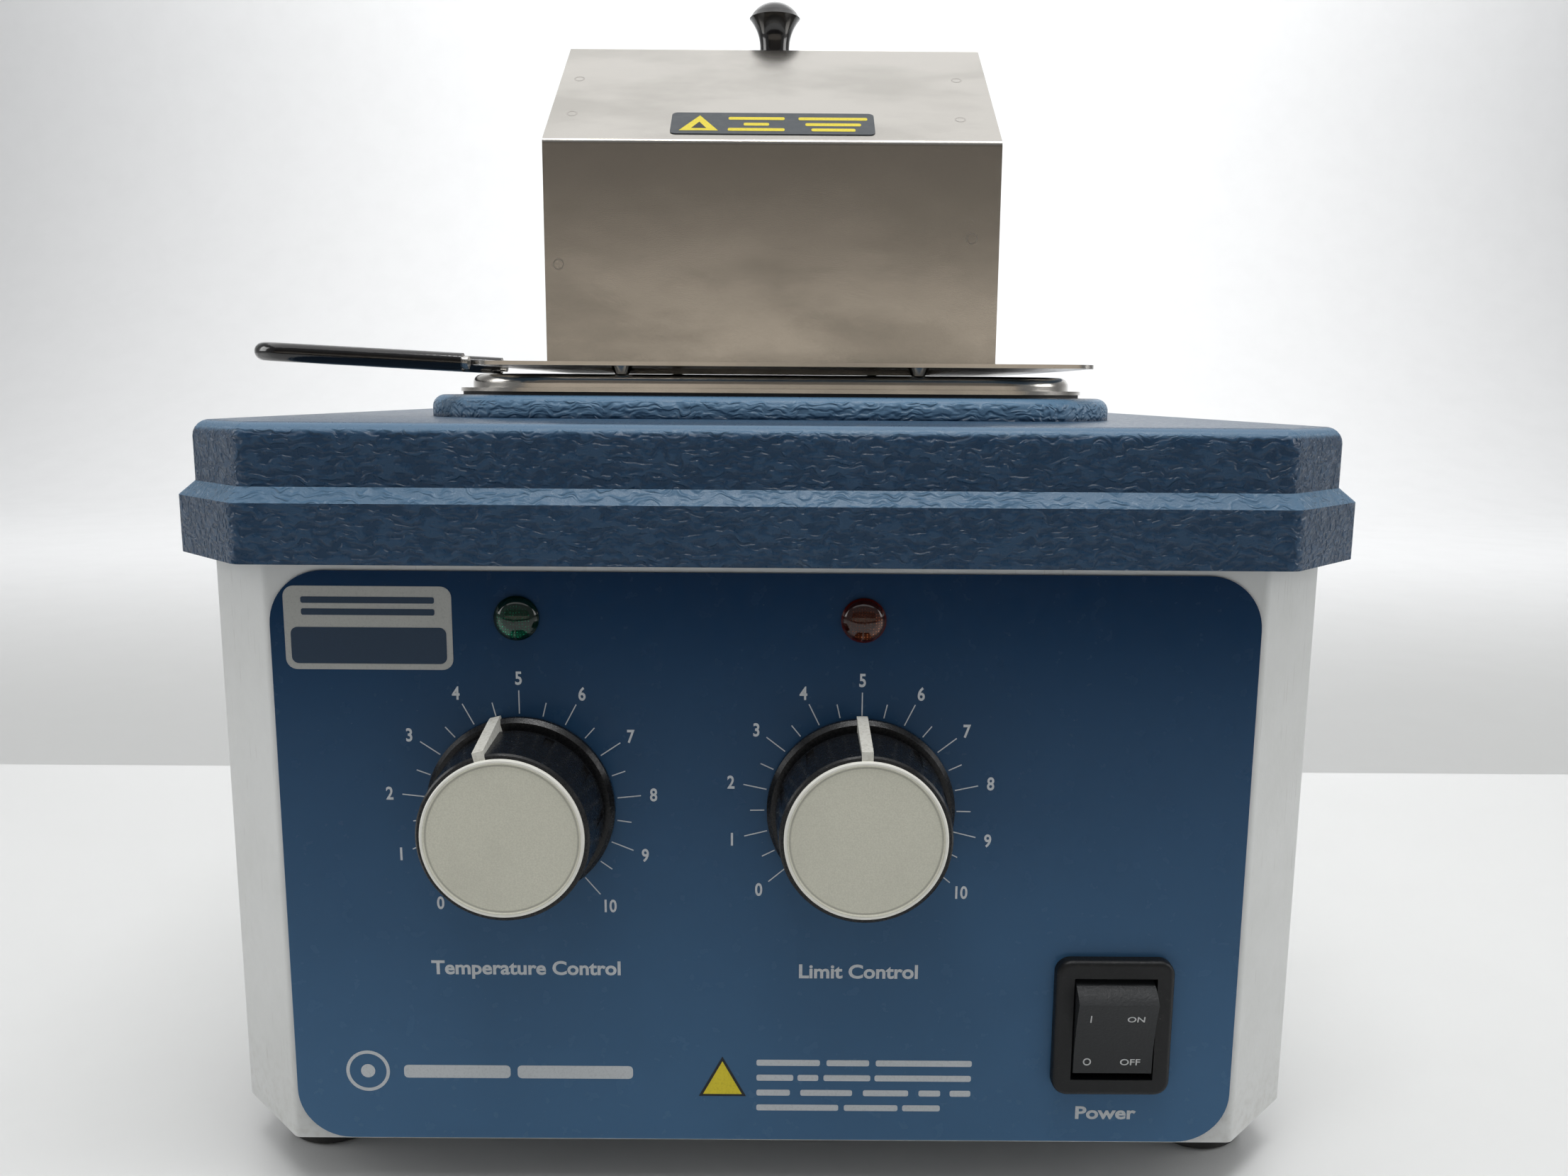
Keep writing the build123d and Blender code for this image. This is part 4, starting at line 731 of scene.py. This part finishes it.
def notice_block():
    """Plain triangle and four rows of bars in place of the notice."""
    middle_x, foot_z = -8.8, 21.9
    bar_height, row_pitch = 1.35, 3.42
    first_row = (7.2, 7.0)
    face = panel.moved(middle_x, foot_z)
    outer = [(-5.0, 0.0), (5.0, 0.0), (0.0, 9.0)]
    inner = [(-4.1, 0.5), (4.1, 0.5), (0.0, 7.95)]
    printed("notice_triangle_edge", face, [outer], ink_dark, ON_PANEL)
    printed("notice_triangle", face, [inner], ink_yellow, ON_PANEL, OVERPRINT_LAYER)
    rows = [        # start and length of each bar
        ((0, 13.4), (14.8, 9.0), (25.2, 20.3)),
        ((0, 7.8), (8.7, 4.4), (14.2, 9.9), (25.0, 20.4)),
        ((0, 7.1), (9.3, 11.0), (22.6, 9.6), (34.4, 4.6), (41.0, 4.4)),
        ((0, 17.4), (18.6, 11.4), (31.0, 8.0)),
    ]
    bars = []
    for row, pieces in enumerate(rows):
        for start, length in pieces:
            bars.append(bar(length, bar_height, start, -row * row_pitch))
    printed("notice_bars", face.moved(*first_row), bars, ink_white, ON_PANEL)


# ---------------------------------------------------------------- switch marks
ROCKER_REST = radians(10)          # tilt of the rocker at rest
ROCKER_FACE_OUT = 6.86             # nose line in front of the pivot
ROCKER_FACE_HALF = 8.47            # nose line above and below the pivot
ROCKER_FACE_SAG = 0.7


def rocker_marks():
    """I and ON at the top of the rocker, O and OFF at the bottom, on its hollow face."""
    up = Vector((0, -sin(ROCKER_REST), cos(ROCKER_REST)))
    face = Face(rocker_pivot, (1, 0, 0), up)

    def level(v):
        """Face on the hollow at a height v above the pivot."""
        depth = ROCKER_FACE_OUT - ROCKER_FACE_SAG * (1 - (v / ROCKER_FACE_HALF) ** 2)
        slope = 2 * ROCKER_FACE_SAG * v / ROCKER_FACE_HALF**2
        tilted_up = face.up + face.out * slope
        return Face(face.at(0, v, depth), face.right, tilted_up)

    for name, v, words in (
        ("rocker_mark_on", 4.6, [("I", -5.4, -0.8, 1.9, None), ("ON", 3.9, -0.6, 1.45, 3.6)]),
        ("rocker_mark_off", -6.1, [("O", -5.4, -0.6, 1.7, 1.7), ("OFF", 3.6, -0.5, 1.45, 4.2)]),
    ):
        lettering(name, level(v), words, ink_rocker, ON_ROCKER, ROCKER_WEIGHT)


# ---------------------------------------------------------------- cover details
LABEL_HALF_THICKNESS = 0.1
WELD_INNER, WELD_OUTER = 1.05, 1.4


def cover_faces():
    """The front wall from its bottom edge, and the front slope from the label's middle."""
    wall = Face((0, wrap_low.y, wrap_low.z), (1, 0, 0), (0, 0, 1))
    polygons = NODES["caution_label"].data.polygons
    front = max(polygons, key=lambda p: p.area * (p.normal.y < -0.3 and p.normal.z > 0.3))
    up = Vector((0, front.normal.z, -front.normal.y))
    return wall, Face(label_mid + front.normal * LABEL_HALF_THICKNESS * MM, (1, 0, 0), up)


wall_face, label_face = cover_faces()


def weld_marks():
    """Faint rings left by the spot welds that hold the end panels."""
    steel = turned_metal("weld_mark_look", (0.42, 0.40, 0.37), 0.34)
    eave_to_label = 9.2
    slope = label_face.moved(0, -eave_to_label, -2 * LABEL_HALF_THICKNESS)
    slope_spots = [(-51.2, 14.6), (-51.9, 36.0), (48.9, 36.8), (47.6, 12.6)]      # from the eave up
    wall_spots = [(-53.4, 24.5), (49.9, 31.4)]                                   # from the bottom edge up
    for name, face, spots in (("slope_welds", slope, slope_spots), ("wall_welds", wall_face, wall_spots)):
        rings = [(u, v, WELD_INNER, WELD_OUTER) for u, v in spots]
        ring_piece(name, face, rings, steel, ON_COVER, WELD_LAYER, 40)


def cover_label_print():
    """Plain triangle and bars on the label, with no lettering."""
    triangle = [(-23.4, -4.3), (-13.6, -4.3), (-18.5, 4.3)]
    inside = [(-20.4, -3.0), (-16.6, -3.0), (-18.5, 0.6)]
    printed("label_triangle", label_face, [triangle], ink_yellow, ON_LABEL, LABEL_LAYER)
    printed("label_triangle_field", label_face, [inside], ink_dark, ON_LABEL, LABEL_OVERPRINT_LAYER)
    left_middle, right_middle, bar_height = -4.1, 15.2, 1.6
    bars = []
    for foot, left, right in ((1.9, 14.2, 17.4), (-1.4, 6.4, 14.0), (-4.4, 14.2, 11.0)):
        bars.append(bar(left, bar_height, left_middle - left / 2, foot))
        bars.append(bar(right, bar_height, right_middle - right / 2, foot))
    printed("label_bars", label_face, bars, ink_yellow, ON_LABEL, LABEL_LAYER)


# ---------------------------------------------------------------- stage, lights, camera
def paper(name, near, far, rough, start=0.0, end=1.0):
    """Plain pale sheet whose tone drifts from near to far along Y, between two places in metres."""
    s = Shader(f"{name}_look", Specular_IOR_Level=0.3)
    grain = s.noise(s.where(), 0.02, 4.0, 0.6)
    drift = s.span(s.coordinate(1), start / MM, end / MM)
    tone = s.blend(drift, near, far)
    s.colour(s.blend(s.span(grain, 0.3, 0.8, 0.0, 0.06), tone, (0.5, 0.5, 0.5)))
    s.roughness(s.span(grain, 0.3, 0.7, *rough))
    return s.material


def stage_sheet(name, points, faces, material):
    """One sheet of the surroundings, which isn't part of the object."""
    data = bpy.data.meshes.new(name)
    data.from_pydata(points, [], faces)
    sheet = bpy.data.objects.new(name, data)
    bpy.context.scene.collection.objects.link(sheet)
    data.materials.append(material)
    return sheet


def upright(x, y, low, high):
    """Corners of an upright sheet across the view, from -x to x."""
    return [(-x, y, low), (x, y, low), (x, y, high), (-x, y, high)]


def level_sheet(x, near, far, height):
    """Corners of a level sheet, from -x to x and from near to far."""
    return [(-x, near, height), (x, near, height), (x, far, height), (-x, far, height)]


STAGE_REACH = 4.0              # half the width of table and backdrop, in metres
TABLE_FAR_EDGE = 0.172
SINGLE_FACE = [(0, 1, 2, 3)]


def table_and_backdrop():
    """Pale table, and a backdrop beyond its far edge that sweeps up in one curve; the backdrop is painted
    darker next to the table's edge as shade.
    """
    pale = (0.77, 0.775, 0.77)
    table = paper("table", pale, pale, (0.2, 0.26))
    stage_sheet("table", level_sheet(STAGE_REACH, -STAGE_REACH, TABLE_FAR_EDGE, 0), SINGLE_FACE, table)
    floor_z, curve_start, curve_radius, curve_steps, top_z = -0.002, 1.3, 0.8, 12, 3.2
    profile = [(TABLE_FAR_EDGE + 0.001, floor_z), (curve_start, floor_z)]
    for step in range(1, curve_steps + 1):
        turn = pi / 2 * step / curve_steps
        profile.append((curve_start + curve_radius * sin(turn), floor_z + curve_radius * (1 - cos(turn))))
    profile.append((curve_start + curve_radius, top_z))
    points = [(x, y, z) for y, z in profile for x in (-STAGE_REACH, STAGE_REACH)]
    faces = [(2 * k, 2 * k + 1, 2 * k + 3, 2 * k + 2) for k in range(len(profile) - 1)]
    # Painted shade: the backdrop is darker next to the table's edge and lighter further back.
    cloth = paper("backdrop", (0.50, 0.505, 0.50), (0.80, 0.805, 0.81), (0.7, 0.8), TABLE_FAR_EDGE, 1.0)
    backdrop = stage_sheet("backdrop", points, faces, cloth)
    for face in backdrop.data.polygons:
        face.use_smooth = True


def room_in_front():
    """Floor and walls in front of the object, which only reflections see."""
    wall_y, half_width, floor_edge, floor_z = -1.25, 1.5, -0.62, 0.002
    dado, ceiling = 0.32, 1.0
    for name, points, tone in (
        ("room_floor", level_sheet(half_width, wall_y, floor_edge, floor_z), (0.02, 0.02, 0.022)),
        ("room_low", upright(half_width, wall_y, 0.0, dado), (0.72, 0.64, 0.545)),
        ("room_high", upright(half_width, wall_y, dado, ceiling), (0.13, 0.115, 0.10)),
    ):
        sheet = stage_sheet(name, points, SINGLE_FACE, paper(name, tone, tone, (0.8, 0.9)))
        sheet.visible_camera = sheet.visible_diffuse = sheet.visible_shadow = False


def soft_light(name, place, target, width, height, radiance):
    """Rectangular light whose brightness is given per area, so its size changes only its softness."""
    data = bpy.data.lights.new(name, "AREA")
    data.shape = "RECTANGLE"
    data.size, data.size_y = width, height
    data.energy = radiance * pi * width * height
    light = bpy.data.objects.new(name, data)
    bpy.context.scene.collection.objects.link(light)
    light.location = place
    light.rotation_mode = "QUATERNION"
    light.rotation_quaternion = (Vector(target) - Vector(place)).to_track_quat("-Z", "Y")


# Name, place, target, width, height and radiance
LIGHTS = (
    ("ceiling_front", (0.0, -0.25, 1.6), (0, -0.25, 0), 2.8, 1.3, 0.97),
    ("ceiling_back", (0.0, 1.05, 1.6), (0, 1.05, 0), 2.8, 1.3, 0.88),
    ("strip", (0.1, -0.30, 1.3), (0, 0, 0.1), 0.9, 0.16, 12),
    ("from_right", (1.5, -0.1, 0.65), (0, 0, 0.12), 0.7, 0.8, 3.4),
    ("from_left", (-1.5, -0.1, 0.65), (0, 0, 0.12), 0.7, 0.8, 3.1),
    ("on_backdrop", (0.2, 0.9, 1.6), (0.15, 2.1, 1.15), 1.9, 0.5, 7.4),
)


def lights():
    """Broad ceiling lights, one strip for the highlights, soft sides, and a pale sky all round."""
    for light in LIGHTS:
        soft_light(*light)
    sky_colour, sky_strength = (0.80, 0.81, 0.82, 1), 0.29
    world = bpy.data.worlds.new("studio_air")
    world.use_nodes = True
    sky = world.node_tree.nodes["Background"]
    sky.inputs["Color"].default_value = sky_colour
    sky.inputs["Strength"].default_value = sky_strength
    bpy.context.scene.world = world
    bpy.context.scene.view_settings.view_transform = "Standard"


def camera():
    """Looks at the front from a little above the middle, slightly downward."""
    place = (0.003045, -0.3631, 0.1695)
    yaw, pitch, roll = 0.00191, 0.1592, -0.0071
    lens, sensor_width = 28.02, 36.0
    ahead = Vector((sin(yaw) * cos(pitch), cos(yaw) * cos(pitch), -sin(pitch)))
    right = Vector((cos(yaw), -sin(yaw), 0))
    down = ahead.cross(right)
    across = right * cos(roll) + down * sin(roll)
    lower = down * cos(roll) - right * sin(roll)
    data = bpy.data.cameras.new("camera")
    data.lens, data.sensor_width = lens, sensor_width
    eye = bpy.data.objects.new("camera", data)
    bpy.context.scene.collection.objects.link(eye)
    axes = Matrix((across, -lower, -ahead)).transposed()
    eye.matrix_world = Matrix.Translation(place) @ axes.to_4x4()
    bpy.context.scene.camera = eye


dress_cad_nodes()
dial_scale("temperature_scale", dial_centres["temperature"], degrees_per_unit=28)
dial_scale("limit_scale", dial_centres["limit"], degrees_per_unit=26)
panel_captions()
blank_badge()
blank_mark()
notice_block()
rocker_marks()
weld_marks()
cover_label_print()
table_and_backdrop()
room_in_front()
lights()
camera()
